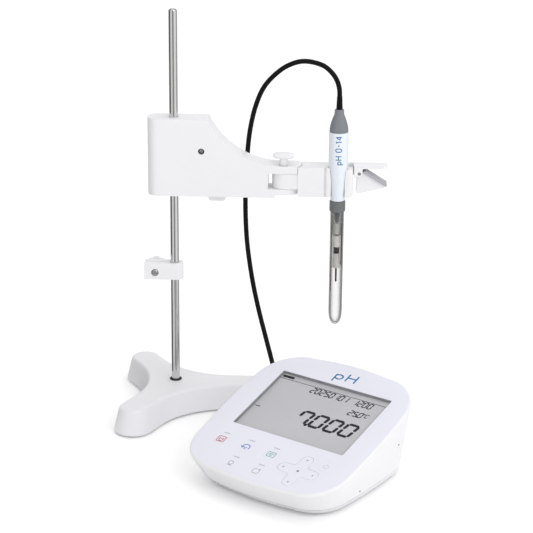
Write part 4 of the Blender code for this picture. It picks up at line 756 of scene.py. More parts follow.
def arm_side(shrink=0.0, end=None, start_x=None):
    left = ARM_LEFT + shrink if start_x is None else start_x
    middle = (SWEEP_X, FORK_TOP + SWEEP)
    radius = SWEEP + shrink
    low, high = ARM_LOW + shrink, ARM_HIGH - shrink
    start = 180 + math.degrees(math.asin((middle[1] - high) / radius))
    if end is None:
        points = [(ARM_LEFT, low), (PIVOT + FORK, low), (PIVOT + FORK, FORK_TOP)]
        stop = 270
    else:
        points = [(left, low), (end, low)]
        stop = 180 + math.degrees(math.acos((middle[0] - end) / radius))
    return points + arc(middle, radius, stop, start, 36) + [(left, high)]


fork_angle = math.degrees(math.asin(ARM_HALF / FORK))
arm_plan = arc((PIVOT, 0), FORK, -fork_angle, fork_angle, 20)
ROUND_X, END_ROUND = ARM_LEFT + 10, 10.0
arm_plan += arc((ROUND_X, ARM_HALF - END_ROUND), END_ROUND, 90, 180, 16)
arm_plan += arc((ROUND_X, -ARM_HALF + END_ROUND), END_ROUND, 180, 270, 16)
end_plan = [(ROUND_X + 2, -ARM_HALF + WALL), (ROUND_X + 2, ARM_HALF - WALL)]
end_plan += arc((ROUND_X, ARM_HALF - END_ROUND), END_ROUND - WALL, 90, 180, 12)
end_plan += arc((ROUND_X, -ARM_HALF + END_ROUND), END_ROUND - WALL, 180, 270, 12)
lower_root = SLOT_FROM + 6.5
lower_cut = [(lower_root, 13), (PIVOT + FORK + 2, 13), (PIVOT + FORK + 2, -13), (lower_root, -13)]
lower_cut += [(lower_root + x * (PIVOT + FORK - lower_root - 0.4), y * ARM_HALF)
              for x, y in arc((0, 0), 1, -90, 90, 28)]
dish_profile = [(0, FORK_TOP - 2.6), (3.8, FORK_TOP - 2.3), (7.6, FORK_TOP - 1.3), (11, FORK_TOP),
                (11.6, FORK_TOP + 3), (0, FORK_TOP + 3)]
piece("arm_shell", side_prism(arm_side(), -13, 13), STAND, "arm", WHITE, "arm_housing", bevel=0.8, steps=[
    ("INTERSECT", prism(arm_plan, 210, 292)),
    ("DIFFERENCE", prism(end_plan, ARM_LOW + WALL, ARM_HIGH - WALL)),
    ("DIFFERENCE", side_prism(arm_side(WALL, 84, ROUND_X), -ARM_HALF + WALL, 13)),
    ("UNION", together(block((-9.4, -10, 215), (9.4, 7.8, 226.4)), block((-9.4, -10, 275.6), (9.4, 7.8, 287)))),
    ("DIFFERENCE", rod_body(4.5, 210, 292)),
    ("DIFFERENCE", together(rod_body(6.7, 216.4, 230), rod_body(6.7, 270, 285.6))),
    ("DIFFERENCE", block((SLOT_FROM, -13, SLOT_LOW), (PIVOT + FORK + 2, 13, SLOT_HIGH))),
    ("DIFFERENCE", rod_body(3.3, 210, 250, at=(PIVOT, 0, 0))),
    ("DIFFERENCE", prism(lower_cut, 210, SLOT_LOW + 0.5)),
    ("DIFFERENCE", block((lower_root, -13, 210), (PIVOT + FORK + 2, 13, FORK_LOW))),
    ("DIFFERENCE", spun(dish_profile, at=(PIVOT, 0, 0))),
    ("DIFFERENCE", rod_body(3.0, -13, 0, axis="Y", at=(PIN_X, 0, PIN_Z))),
    ("DIFFERENCE", block((22.5, -4.3, 210), (53.5, 4.3, 218.5))),
    ("DIFFERENCE", rod_body(5.6, 210, 219.1, steps=6, at=(PIVOT, 0, 0))),
])
piece("arm_back", side_prism(arm_side(WALL + 0.3, 83.7, ROUND_X + 0.3), 9, 11), STAND, "arm", WHITE, "arm_cover",
      bevel=0.4)
finish_nodes(GREY, "bush_bottom", "bush_top")
finish_nodes(WHITE, "release_lever", "cable_clip")
# A dark disc set in the pin's hole: painted shade for the hole's inside.
piece("pin_shade", rod_body(2.6, -7.4, -6.9, axis="Y", at=(PIN_X, 0, PIN_Z)), STAND, "arm", DARK)
print("arm is", round(PIVOT + FORK - ARM_LEFT, 1), "mm long and", ARM_HIGH - ARM_LOW, "mm deep at the rod")

# %% [markdown]
# ## Thumb screw
# Two flat wings on a short neck, moulded over a steel screw. It sets how stiffly the holder swings.

# %% Thumb screw
wings = []
for step in range(64):
    angle = 2 * math.pi * step / 64
    pinch = 0.72 + 0.28 * math.cos(angle) ** 2
    wings.append((10 * math.cos(angle), 6.5 * math.sin(angle) * pinch))
wing_rows = [(0.66, 249.6), (0.86, 249.9), (0.96, 250.8), (1.0, 252.2), (0.98, 253.4), (0.88, 254.5),
             (0.66, 255.0)]
piece("thumb_screw", loft([[(PIVOT + x * grow, y * grow, z) for x, y in wings] for grow, z in wing_rows]), STAND,
      "pivot_screw", WHITE, "pivot_screw", steps=[
          ("UNION", spun([(0, 217.1), (3, 217.1), (3, 243.1), (3.8, 243.5), (3.8, 250.6), (0, 250.6)],
                         at=(PIVOT, 0, 0)))])
print("thumb screw's wings are", 2 * wings[0][0], "mm across")

# %% [markdown]
# ## The electrode holder
# A block hangs in the fork by its tongue and carries a tapered half-round seat that is open at the front. A
# paddle stands out to the right, and two lugs under it hold the squeeze lever's pin. The seat is cut by the
# same cone that the electrode's cap follows, so the cap wedges in it.

# %% Holder block
SEAT_X, SEAT_Y = 153.6, -6.0
HOLD_LOW, HOLD_HIGH, HOLD_RIGHT = 215.6, 243.8, 167.6
JAW_X, JAW_Y, SPLIT_Y = 165.0, 1.6, -2.2
CLAMP_X, CLAMP_Z = 173.4, 237.6


def seat_cone(extra):
    slope_of_cap = (9.1 - 6.4) / (247.0 - 214.7)
    low, high = 6.4 + extra, 6.4 + (246 - 214.7) * slope_of_cap + extra
    return spun([(low, 213.0), (low, 214.7), (high, 246.0)], at=(SEAT_X, SEAT_Y, 0))


def mouth():
    return block((SEAT_X - 6.4, -17, 213), (SEAT_X + 6.4, SEAT_Y, 246))


swing = FORK + 0.6
swing_angle = math.degrees(math.asin(ARM_HALF / swing))
hold_plan = arc((PIVOT, 0), swing, swing_angle, -swing_angle, 20)
hold_plan += [(138.5, -11), (140.0, -10.6), (140.7, -9.9), (141.2, -8.8), (141.7, -8.8), (142.2, -9.9),
              (142.8, -10.9), (143.6, -11.2)]
hold_plan += arc((HOLD_RIGHT - 4.0, -7.2), 4.0, -90, 0, 10) + arc((HOLD_RIGHT - 3.0, 8.0), 3.0, 0, 90, 10)
tongue_plan = arc((PIVOT, 0), 10.4, 90, 270, 24) + [(PIVOT + swing + 2, -10.4), (PIVOT + swing + 2, 10.4)]
paddle_plan = [(HOLD_RIGHT - 3, -7)] + arc((194.5, -2), 5, -90, 0, 10) + arc((194.5, 2), 5, 0, 90, 10)
paddle_plan += [(HOLD_RIGHT - 3, 7)]
lug_side = [(HOLD_RIGHT - 2, 243.2), (HOLD_RIGHT - 2, CLAMP_Z - 4.6)] + arc((CLAMP_X, CLAMP_Z), 2.9, -90, 0, 10)
lug_side += [(CLAMP_X + 2.9, 243.6)]
piece("holder", prism(hold_plan, HOLD_LOW, HOLD_HIGH), STAND, "holder", WHITE, "holder_block", bevel=0.55, steps=[
    ("UNION", prism(tongue_plan, SLOT_LOW + 0.3, SLOT_HIGH - 0.3)),
    ("UNION", prism(paddle_plan, 242.6, 245.2)),
    ("UNION", together(side_prism(lug_side, -7, -4.8), side_prism(lug_side, 4.8, 7))),
    ("DIFFERENCE", rod_body(1.5, -9, 9, axis="Y", at=(CLAMP_X, 0, CLAMP_Z))),
    ("DIFFERENCE", rod_body(3.3, 210, 250, at=(PIVOT, 0, 0))),
    ("DIFFERENCE", seat_cone(0.4)),
    ("DIFFERENCE", mouth()),
    ("DIFFERENCE", block((SEAT_X + 1, -13, 213), (HOLD_RIGHT + 0.9, SPLIT_Y + 0.3, 246))),
    ("DIFFERENCE", together(rod_body(3.4, 213, 223, at=(JAW_X, JAW_Y, 0)),
                            rod_body(3.4, 236.5, 246, at=(JAW_X, JAW_Y, 0)))),
    ("DIFFERENCE", together(block((JAW_X - 3.4, SPLIT_Y - 2, 213), (HOLD_RIGHT + 0.5, JAW_Y, 223)),
                            block((JAW_X - 3.4, SPLIT_Y - 2, 236.5), (HOLD_RIGHT + 0.5, JAW_Y, 246)))),
])
print("holder is", round(HOLD_HIGH - HOLD_LOW, 1), "mm tall")

# %% [markdown]
# ## The jaw
# The seat's right cheek is a separate moulding on an upright pin, so that it can swing out. Its hub sits
# between two bosses of the block, which is why the middle of it is left and its ends are cut.

# %% Jaw
cheek_plan = [(SEAT_X + 1, -11.2)] + arc((HOLD_RIGHT - 4.0, -7.2), 4.0, -90, 0, 10)
cheek_plan += [(HOLD_RIGHT, SPLIT_Y - 0.9), (JAW_X, SPLIT_Y), (SEAT_X + 1, SPLIT_Y)]
hub_plan = arc((JAW_X, JAW_Y), 2.8, 0, 180, 20) + [(JAW_X - 2.8, SPLIT_Y - 1), (JAW_X + 2.4, SPLIT_Y - 1)]
JAW_HIGH = HOLD_HIGH - 1.4
piece("jaw", prism(cheek_plan, HOLD_LOW, JAW_HIGH), STAND, "clip_jaw", WHITE, "clip_jaw", bevel=0.45, steps=[
    ("UNION", prism(hub_plan, HOLD_LOW, JAW_HIGH)),
    ("DIFFERENCE", block((JAW_X - 8, SPLIT_Y, 222.7), (JAW_X + 8, JAW_Y + 8, 236.8))),
    ("DIFFERENCE", seat_cone(0.4)),
    ("DIFFERENCE", mouth()),
    ("DIFFERENCE", rod_body(1.4, 213, 246, at=(JAW_X, JAW_Y, 0))),
])
print("jaw's pin stands", round(JAW_X - SEAT_X, 1), "mm right of the seat's axis")

# %% [markdown]
# ## The squeeze lever
# Squeezing this lever against the paddle above it opens the jaw, and the electrode comes free. The finger
# rests on a grey pad that is laid along its upper face, so the pad is placed by that face's own direction.

# %% Squeeze lever and pad
lever_side = arc((CLAMP_X, CLAMP_Z), 2.6, 70, 200, 12) + [(171.0, 231.0), (170.4, 219.4), (171.4, 218.2)]
lever_side += [(173.4, 218.0), (196.6, 223.8), (198.0, 225.4)]
piece("squeeze_lever", side_prism(lever_side, -4.5, 4.5), STAND, "clamp_lever", WHITE, "clamp_lever", bevel=0.4,
      steps=[
          ("DIFFERENCE", rod_body(1.5, -9, 9, axis="Y", at=(CLAMP_X, 0, CLAMP_Z))),
          ("DIFFERENCE", block((CLAMP_X - 6, -2.2, CLAMP_Z - 3.4), (CLAMP_X + 3.6, 2.2, CLAMP_Z + 6))),
      ])
pad_from, pad_to = Vector(lever_side[0]), Vector(lever_side[-1])
along_pad = (pad_to - pad_from).normalized()
off_pad = Vector((-along_pad.y, along_pad.x))
pad_side = [pad_from + along_pad * 2.4 + off_pad * 0.3, pad_to + off_pad * 0.3,
            pad_to + along_pad * 0.8 + off_pad * 1.3, pad_to + off_pad * 2.4,
            pad_from + along_pad * 4.0 + off_pad * 2.6]
piece("squeeze_pad", side_prism([tuple(point) for point in pad_side], -7, 7), STAND, "clamp_lever", PAD_GREY,
      "clamp_pad", bevel=0.35)
print("pad is", round((pad_to - pad_from).length, 1), "mm long")

# %% [markdown]
# ## The electrode
# A moulded white cap narrows downwards so that it wedges in the seat. Above it a soft grey cone relieves
# the cable, and a grey collar closes the junction below. All of them are turned round one axis, so one
# short helper makes every piece of the electrode.

# %% Cone, cap and collar
AXIS = (SEAT_X, SEAT_Y, 0)


def turned(name, profile, material, replaces=(), steps=72, closed=False, smooth=38.0):
    body = spun(profile, steps, at=AXIS, closed=closed)
    return piece(name, body, STAND, "electrode", material, replaces, smooth=smooth)


cone_profile = [(5, 278.1), (8.7, 278.1), (8.7, 280.3), (8.45, 282.3), (8.0, 284.4), (7.4, 286.6), (6.6, 289.2),
                (5.7, 291.6), (4.9, 293.4), (4.5, 294.6), (4.4, 296), (4.4, 298.4), (4.0, 299), (2.6, 299),
                (2.6, 292), (5, 286)]
CONE_GREY = moulded("cone_grey", (0.2, 0.21, 0.23), 0.45, grain=0.2, drift=0.08)
turned("cone", cone_profile, CONE_GREY, "electrode_cone", closed=True, smooth=50)
cap_profile = [(4.2, 212.1), (6.7, 212.1), (6.7, 214.3), (6.4, 214.7), (9.05, 246.4), (9.1, 247.4), (9.1, 277.0),
               (8.9, 277.6), (8.6, 277.8), (6, 277.8), (6, 241), (4.2, 237)]
CAP_WHITE = moulded("cap_plastic", (0.74, 0.78, 0.83), 0.3, grain=0.05)
turned("cap", cap_profile, CAP_WHITE, "electrode_cap", closed=True, smooth=30)
COLLAR_GREY = moulded("collar_grey", (0.14, 0.145, 0.15), 0.3, grain=0.05)
collar_profile = [(6.6, 201.5), (7.2, 201.5), (7.5, 202.0), (7.5, 205.6), (7.3, 205.9), (7.3, 206.3),
                  (7.5, 206.6), (7.5, 211.0), (6.7, 211.7), (6.6, 211.7)]
turned("junction_collar", collar_profile, COLLAR_GREY, "electrode_collar", closed=True)
print("cap and cone are", round(cone_profile[12][1] - cap_profile[0][1], 1), "mm long")

# %% [markdown]
# ## The glass
# Below the collar the body is clear glass: a thin tube with a smaller tube inside. Glass that bends light
# would be truer, but many thin walls behind one another turn noisy and dark. So the walls are clear face on
# and grey where they are seen edge on, which is what gives a glass tube its two dark lines.

# %% Outer and inner glass
def clear_tube(name, colour, middle, rim, power):
    """Thin glass. It hides almost nothing face on and nearly everything where it is seen edge on."""
    recipe = Recipe(name, IOR=1.47, Specular_IOR_Level=0.6)
    ripple = recipe.noise(60.0, 1.0)
    edge_on = recipe.node("ShaderNodeLayerWeight", None, {"Blend": 0.5}, output=1)
    recipe.put("Base Color", recipe.mix(ripple, tuple(part * 0.9 for part in colour), colour))
    recipe.put("Roughness", 0.03 + ripple * 0.04)
    recipe.put("Alpha", edge_on ** power * rim + middle)
    return recipe.material


OUTER_GLASS = clear_tube("outer_glass", (0.035, 0.035, 0.03), 0.03, 0.98, 1.5)
INNER_GLASS = clear_tube("inner_glass", (0.4, 0.41, 0.4), 0.03, 0.5, 2.6)
stem_out = [(0, 88.3), (1.4, 88.5), (2.9, 89.2), (4.2, 90.8), (5.1, 92.9), (5.7, 95.0), (6.0, 96.8),
            (6.25, 99.6), (6.4, 102.8), (6.4, 211.6)]
stem_in = [(5.5, 211.6), (5.5, 103.2), (5.35, 99.8), (5.1, 97.2), (4.8, 95.4), (4.2, 93.6), (3.3, 91.9),
           (2.2, 90.5), (1.1, 89.9), (0, 89.8)]
turned("outer_glass", stem_out + stem_in, OUTER_GLASS, "electrode_stem", smooth=60)
tube_profile = [(3.4, 145.0), (3.8, 145.0), (4.0, 145.4), (4.0, 178.9), (3.4, 178.9)]
turned("inner_glass", tube_profile, INNER_GLASS, "electrode_inner_tube", steps=56, closed=True, smooth=60)
print("glass reaches", round(stem_out[-1][1] - stem_out[0][1], 1), "mm below the cap")

# %% [markdown]
# ## Inside the glass
# A white sleeve, the plug above it, a dark block and the wire down the middle can all be seen through the
# tube. Two thin lacquered wires run beside them, red-brown against the glass, and are swept along short
# lines.

# %% Sensing wire, sleeve and block
SLEEVE_WHITE = moulded("sleeve_white", (0.85, 0.85, 0.82), 0.35, grain=0.05)
WIRE_RED = moulded("wire_lacquer", (0.16, 0.03, 0.015), 0.3, grain=0.05)
JUNCTION = clear_tube("junction_sleeve", (0.2, 0.2, 0.17), 0.07, 0.7, 1.1)
turned("junction_sleeve", [(4.1, 180), (4.5, 179), (5.4, 179), (5.4, 201), (4.1, 201)], JUNCTION, steps=56,
       closed=True)
turned("core_plug", [(0, 190.4), (2.0, 190.4), (2.3, 190.8), (2.9, 206), (0, 206)], CONE_GREY, "electrode_plug",
       steps=40)
turned("white_core", [(0, 177.6), (1.4, 177.8), (2.5, 178.6), (3.0, 179.8), (3.0, 189.2), (0, 189.2)],
       SLEEVE_WHITE, steps=48)
turned("white_tube", [(0.9, 166.1), (3.1, 166.1), (3.1, 177.0), (0.9, 177.0)], SLEEVE_WHITE, steps=48,
       closed=True)
turned("dark_block", [(0.9, 159.8), (2.7, 159.8), (2.8, 160.2), (2.8, 165.4), (2.7, 165.8), (0.9, 165.8)], DARK,
       steps=40, closed=True)
turned("pale_tube", [(0.9, 145.2), (3.0, 145.2), (3.0, 159.5), (0.9, 159.5)],
       moulded("pale_tube", (0.74, 0.74, 0.7), 0.3, grain=0.05), steps=48, closed=True)
turned("sensing_wire", [(0, 131), (0.6, 131), (0.85, 131.4), (0.85, 177), (0, 177)], DARK, "electrode_element",
       steps=20)


def thin_wire(name, side, towards, heights, radius):
    line = [Vector((SEAT_X + side, SEAT_Y + towards, z)) for z in heights]
    return piece(name, loft(swept_rings(line, radius, 10)), STAND, "electrode", WIRE_RED)


thin_wire("lacquered_wire", 4.6, -2.2, (190, 180, 170, 160, 149), 0.6)
thin_wire("return_wire", -4.8, -1.8, (179, 165, 150, 135, 122), 0.35)
turned("fill_plug", [(4.2, 201.5), (5.3, 201.5), (5.3, 211), (4.2, 211)], JUNCTION, steps=56, closed=True)
print("inside the glass:", ", ".join(material.name for material in (SLEEVE_WHITE, WIRE_RED, JUNCTION)))

# %% [markdown]
# ## The meter's casing
# Two mouldings meet at a seam near the table. The upper one has a panel that slopes towards the user, four
# big round corners and walls that lean inwards as they go down, so that the rim stands proud. The rim's
# edge is rounded by lofting a few rings close together instead of bevelling afterwards.

# %% Casing outlines
HALF_WIDE, HALF_DEEP = 81.2, 80.2
FRONT_CORNER, BACK_CORNER = 35.0, 41.0
SIDE_TAPER, FRONT_TAPER = 11.5, 14.5
SEAM = 8.5


def case_outline(half_width, front, back, front_corner, back_corner):
    spots = [((half_width - front_corner, front + front_corner), front_corner, -90),
             ((half_width - back_corner, back - back_corner), back_corner, 0),
             ((-half_width + back_corner, back - back_corner), back_corner, 90),
             ((-half_width + front_corner, front + front_corner), front_corner, 180)]
    arcs = [arc(middle, radius, start, start + 90, 20) for middle, radius, start in spots]
    points = []
    for number, corner in enumerate(arcs):
        points += corner
        start, stop = Vector(corner[-1]), Vector(arcs[(number + 1) % 4][0])
        out = Vector(((stop - start).y, -(stop - start).x)).normalized()
        for share in [step / 12 for step in range(1, 12)]:
            bow = (1.4, 3.3)[number % 2] * 4 * share * (1 - share)
            points.append(tuple(start.lerp(stop, share) + out * bow))
    return points


def rim_ring(draw_in, drop):
    outline = case_outline(HALF_WIDE - draw_in, -HALF_DEEP + draw_in, HALF_DEEP - draw_in,
                           FRONT_CORNER - draw_in, BACK_CORNER - draw_in)
    return [Vector((x, y, PANEL_HEIGHT + y * SLOPE - drop)) for x, y in outline]


def foot_ring(draw_in, z):
    outline = case_outline(HALF_WIDE - SIDE_TAPER - draw_in, -HALF_DEEP + FRONT_TAPER + draw_in,
                           HALF_DEEP - 0.6 - draw_in, FRONT_CORNER - 3 - draw_in, BACK_CORNER - 3 - draw_in)
    return [Vector((x, y, z)) for x, y in outline]


def wall_rings(draw_in, low, drop, shares):
    foot, rim = foot_ring(draw_in, 0.0), rim_ring(draw_in, drop)
    starts = [a.lerp(b, low / b.z) for a, b in zip(foot, rim)]
    return [[start.lerp(b, share) for start, b in zip(starts, rim)] for share in shares]


print("casing outline has", len(foot_ring(0, 0)), "points")

# %% [markdown]
# ## Panel and walls
# The panel is a printed film laid on the upper moulding. Under it the wall is the paler casing plastic, so
# one body carries two finishes. The display sits three millimetres down in a window with grey sides, whose
# dark grey is partly painted shade, and the keys are parts of the film that give by half a millimetre, with
# only a hairline round each of them.

# %% Upper and lower casing
LCD_X, LCD_LOW, LCD_HIGH, LCD_WIDE = 0.8, -25.4, 56.3, 118.0
LCD_AT = (LCD_X, (LCD_LOW + LCD_HIGH) / 2)
LCD_TALL = LCD_HIGH - LCD_LOW
TO_CASE = METER.inverted() @ PANEL
KEYS = {"key_red": (-53.6, -49.4), "key_blue": (-26.0, -49.4), "key_green": (1.0, -49.4),
        "key_grey_left": (-26.0, -73.2), "key_grey_right": (1.0, -73.2), "key_power": (54.8, -43.8)}
KEY_RADIUS = 7.2
HAIRLINE = 0.06
PAD_AT = (35.3, -58.4)
PAD_REACH, PAD_HALF, PAD_ROUND = 20.0, 5.6, 3.0


def on_panel(body):
    body.transform(TO_CASE)
    return body


def cross(reach, half, inner):
    points = []
    for quarter in range(4):
        turn = Matrix.Rotation(math.radians(90 * quarter), 2)
        end = arc((reach - half, 0), half, -90, 90, 16) + arc((half + inner, half + inner), inner, 270, 180, 8)
        points += [tuple(turn @ Vector(point)) for point in end]
    return points


def shifted(outline, at):
    return [(x + at[0], y + at[1]) for x, y in outline]


rim = [rim_ring(0, 2.4), rim_ring(0.12, 1.5), rim_ring(0.5, 0.75), rim_ring(1.2, 0.2), rim_ring(2.2, 0)]
holes = [rod_body(KEY_RADIUS + HAIRLINE, -6, 2, 64, at=(*at, 0)) for at in KEYS.values()]
holes.append(prism(shifted(cross(PAD_REACH + 0.25, PAD_HALF + 0.25, PAD_ROUND - 0.25), PAD_AT), -6, 2))
holes.append(prism(rounded(LCD_AT, LCD_WIDE, LCD_TALL, 1.2), -14, 2))
inner = wall_rings(2.5, 6.5, 3.7, (0, 1)) + [rim_ring(4.5, 2.5)]
top_case = piece(
    "upper_casing", loft(wall_rings(0, SEAM + 0.3, 2.4, (0, 0.03, 0.5, 1))[:-1] + rim), METER, "stand", CASE,
    "meter_top_case", smooth=30, steps=[
        ("DIFFERENCE", loft(inner)),
        ("DIFFERENCE", on_panel(together(*holes))),
        ("DIFFERENCE", block((-52, 68, 12), (52, 84, 36))),
    ])
top_case.data.materials.append(PANEL_SKIN)
panel_up = (PANEL.to_3x3() @ Vector((0, 0, 1))).normalized()
for face in top_case.data.polygons:
    if face.normal.dot(panel_up) > 0.9:
        face.material_index = 1
lower_rings = [foot_ring(2.2, 2.6), foot_ring(1.1, 2.9), foot_ring(0.4, 3.7)]
lower_rings.append([a.lerp(b, SEAM / b.z) for a, b in zip(foot_ring(0, 0), rim_ring(0, 2.6))])
piece("lower_casing", loft(lower_rings), METER, "stand", CASE, "meter_bottom_case", smooth=40,
      steps=[("DIFFERENCE", loft([foot_ring(3.4, 5.1), foot_ring(3.0, 10.5)]))])
JACK_X = 30
piece("rear_plate", block((-51.7, 74, 12.3), (51.7, 76, 35.7)), METER, "stand", PALE, "meter_rear_panel",
      bevel=0.3, steps=[
          ("DIFFERENCE", rod_body(5.5, 70, 80, axis="Y", at=SOCKET)),
          ("DIFFERENCE", rod_body(3.3, 70, 80, axis="Y", at=(JACK_X, 0, SOCKET_Z))),
      ])
finish_nodes(BOARD, "circuit_board")
finish_nodes(BRASS, "electrode_socket")
print("casing is", 2 * HALF_WIDE, "by", 2 * HALF_DEEP, "mm at its rim, with", len(holes), "openings on top")

# %% [markdown]
# ## Display
# The liquid-crystal sheet lies three millimetres under a clear window, whose faint white haze is painted
# reflection. A dark grey frame lines the recess. Its grey is partly painted shade for the recess's sides,
# and from the side its back and left walls show as a darker band. The figures are slanted seven-segment digits:
# the dark segments are modelled, because the real ones are shapes too.

# %% Display sheet, frame and window
lcd = Recipe("liquid_crystal", Specular_IOR_Level=0.3)
lcd_drift = lcd.noise(9.0, 2.0)
lcd.put("Base Color", lcd.mix(lcd_drift, (0.41, 0.41, 0.435), (0.52, 0.52, 0.545)))
lcd.put("Roughness", 0.4 + lcd_drift * 0.15)
piece("lcd_sheet", prism(rounded(LCD_AT, LCD_WIDE - 1.2, LCD_TALL - 1.2, 1.0), -7.5, -3.0), PANEL, "stand",
      lcd.material, "lcd_module")
outer = rounded(LCD_AT, LCD_WIDE - 0.1, LCD_TALL - 0.1, 1.15)
inner_edge = rounded(LCD_AT, LCD_WIDE - 1.0, LCD_TALL - 1.0, 0.8)
frame_rings = [[(x, y, z) for x, y in outline] for outline, z in
               ((outer, -3.6), (outer, -0.25), (inner_edge, -0.25), (inner_edge, -3.6))]
# Dark grey for the recess walls: partly painted shade, which darkens the band that the walls show.
GREY_AND_SHADE = moulded("grey_and_painted_shade", (0.25, 0.255, 0.275), 0.4, grain=0.1)
piece("lcd_frame", loft(frame_rings, closed=True), PANEL, "stand", GREY_AND_SHADE)
# The window's faint white, at almost no alpha, is painted reflection. The noise varies that white and the
# window's gloss.
window = Recipe("window", Alpha=0.012)
smear_and_reflection = window.noise(30.0, 2.0)
window.put("Base Color", window.mix(smear_and_reflection, (0.85, 0.86, 0.88), (0.95, 0.95, 0.96)))
window.put("Roughness", 0.04 + smear_and_reflection * 0.06)
piece("lcd_glass", prism(rounded(LCD_AT, LCD_WIDE - 1.1, LCD_TALL - 1.1, 0.8), -1.4, -0.2), PANEL, "stand",
      window.material, "lcd_window")
print("display opening is", LCD_WIDE, "by", round(LCD_TALL, 1), "mm")

# %% [markdown]
# ## Drawing marks
# A mark is a flat line of even width, so one helper widens any row of points into a ribbon that is a few
# hundredths of a millimetre thick. Digits use the same idea: seven six-sided bars, with a table of which
# bars each figure lights.

# %% Ribbons and digits
def ribbon(points, width, low=0.0, high=0.05, closed=False):
    line = [Vector((x, y, 0)) for x, y in points]
    rings = []
    for number, point in enumerate(line):
        before = line[number - 1] if closed or number else point
        after = line[(number + 1) % len(line)] if closed or number < len(line) - 1 else point
        heading = (after - before).normalized()
        side = Vector((-heading.y, heading.x, 0)) * width / 2
        corners = ((1, low), (-1, low), (-1, high), (1, high))
        rings.append([point + side * way + Vector((0, 0, z)) for way, z in corners])
    return loft(rings, closed)


LIT = {"0": "abcdef", "1": "bc", "2": "abged", "5": "afgcd", "7": "abcf", "C": "afed"}
BARS = {"a": ((0, 1), (1, 1)), "b": ((1, 1), (1, 0.5)), "c": ((1, 0.5), (1, 0)), "d": ((0, 0), (1, 0)),
        "e": ((0, 0.5), (0, 0)), "f": ((0, 1), (0, 0.5)), "g": ((0, 0.5), (1, 0.5))}
LCD_SURFACE = -3.0


def bar(start, stop, thick):
    start, stop = Vector(start), Vector(stop)
    along = (stop - start).normalized()
    side = Vector((-along.y, along.x)) * thick / 2
    start, stop = start + along * thick * 0.06, stop - along * thick * 0.06
    shoulder = along * thick * 0.38
    points = [start, start + shoulder - side, stop - shoulder - side, stop, stop - shoulder + side,
              start + shoulder + side]
    return prism([tuple(point) for point in points], LCD_SURFACE, LCD_SURFACE + 0.06)


def figure(character, left, low, wide, tall, thick, slant=0.18):
    made = []
    for name in LIT[character]:
        ends = []
        for across, up in BARS[name]:
            ends.append((left + across * wide + up * tall * slant, low + up * tall))
        made.append(bar(*ends, thick))
    return made


def figures(text, left, low, wide, tall, thick, step):
    """A row of figures. A full stop takes no room of its own."""
    made = []
    for character in text:
        if character == ".":
            stop = arc((left - step + wide + thick * 0.9, low), thick * 0.6, 0, 330, 11)
            made.append(prism(stop, LCD_SURFACE, LCD_SURFACE + 0.06))
            continue
        if character != " ":
            made += figure(character, left, low, wide, tall, thick)
        left += step
    return made


print("figures that can be lit:", " ".join(LIT))

# %% [markdown]
# ## What the display shows
# A reading of 7.000 in large figures, the temperature above it, and a line for the date and the time, set
# to noon on the first day of a year. A thin rule closes off the status line at the top. All marks are one
# body, because they are one layer of the display.

# %% Display marks
INK = moulded("segment_ink", (0.005, 0.005, 0.01), 0.35, grain=0.02, gloss=0.1)
marks = figures("7.000", -10.1, -0.1, 10.6, 16.4, 3.0, 15.6)
marks += figures("25.0", 29.6, 27.1, 3.5, 6.4, 1.15, 5.05)
marks += [ribbon(arc((45.6, 33.0), 0.7, 0, 324, 9), 0.45, LCD_SURFACE, LCD_SURFACE + 0.06, closed=True)]
marks += figure("C", 46.6, 29.0, 3.0, 4.4, 0.8)
marks += figures("20250101 1200", -20.2, 41.0, 3.4, 7.0, 1.15, 5.12)
marks.append(block((-57.5, 49.0, LCD_SURFACE), (59.0, 49.6, LCD_SURFACE + 0.05)))
marks.append(block((-56.4, 5.4, LCD_SURFACE), (-50.6, 6.4, LCD_SURFACE + 0.05)))
marks.append(prism(rounded((-50.6, 52.6), 12.4, 3.2, 0.6), LCD_SURFACE, LCD_SURFACE + 0.05))
piece("lcd_figures", together(*marks), PANEL, "stand", INK, smooth=20)
print("display shows", len(marks), "marks")

# %% [markdown]
# ## Keys and their icons
# Each key is a disc of the same film, so it is told from the panel only by the hairline round it and by its
# icon. The arrow pad is a cross with round ends and the centre key stands in its middle.

# %% Keys
def print_on(name, bodies, body, colour, at=(0, 0)):
    ink = moulded(name + "_ink", colour, 0.4, grain=0.02)
    whole = together(*bodies)
    whole.transform(Matrix.Translation((*at, 0)))
    return piece(name, whole, PANEL, body, ink, smooth=20)


for name, at in KEYS.items():
    key_profile = [(0, -1.6), (KEY_RADIUS, -1.6), (KEY_RADIUS, -0.03), (KEY_RADIUS - 0.03, 0), (0, 0)]
    cap_of_key = spun(key_profile, 64, at=(*at, 0))
    piece("cap_of_" + name, cap_of_key, PANEL, name, PANEL_SKIN, name, smooth=25)
pad_rings = []
for less, z in ((0, -1.6), (0, -0.1), (0.1, 0)):
    outline = shifted(cross(PAD_REACH - less, PAD_HALF - less, PAD_ROUND + less), PAD_AT)
    pad_rings.append([(x, y, z) for x, y in outline])
pad_body = loft(pad_rings)
piece("arrow_pad", pad_body, PANEL, "key_arrow_pad", PANEL_SKIN, "key_arrow_pad", smooth=30,
      steps=[("DIFFERENCE", rod_body(4.26, -3, 2, 64, at=(*PAD_AT, 0)))])
piece("centre_key", spun([(0, -1.6), (4.2, -1.6), (4.2, -0.03), (4.17, 0), (0, 0)], 64, at=(*PAD_AT, 0)), PANEL,
      "key_centre", PANEL_SKIN, "key_centre", smooth=25)
print("panel has", len(KEYS) + 2, "keys")

# %% [markdown]
# ## Icons
# The icons are plain pictograms in red, blue, green and grey, which tell the keys apart. They could be an
# image on the film, but as thin ribbons of ink they stay sharp from near by. Short grey bars stand for the
# keys' captions.

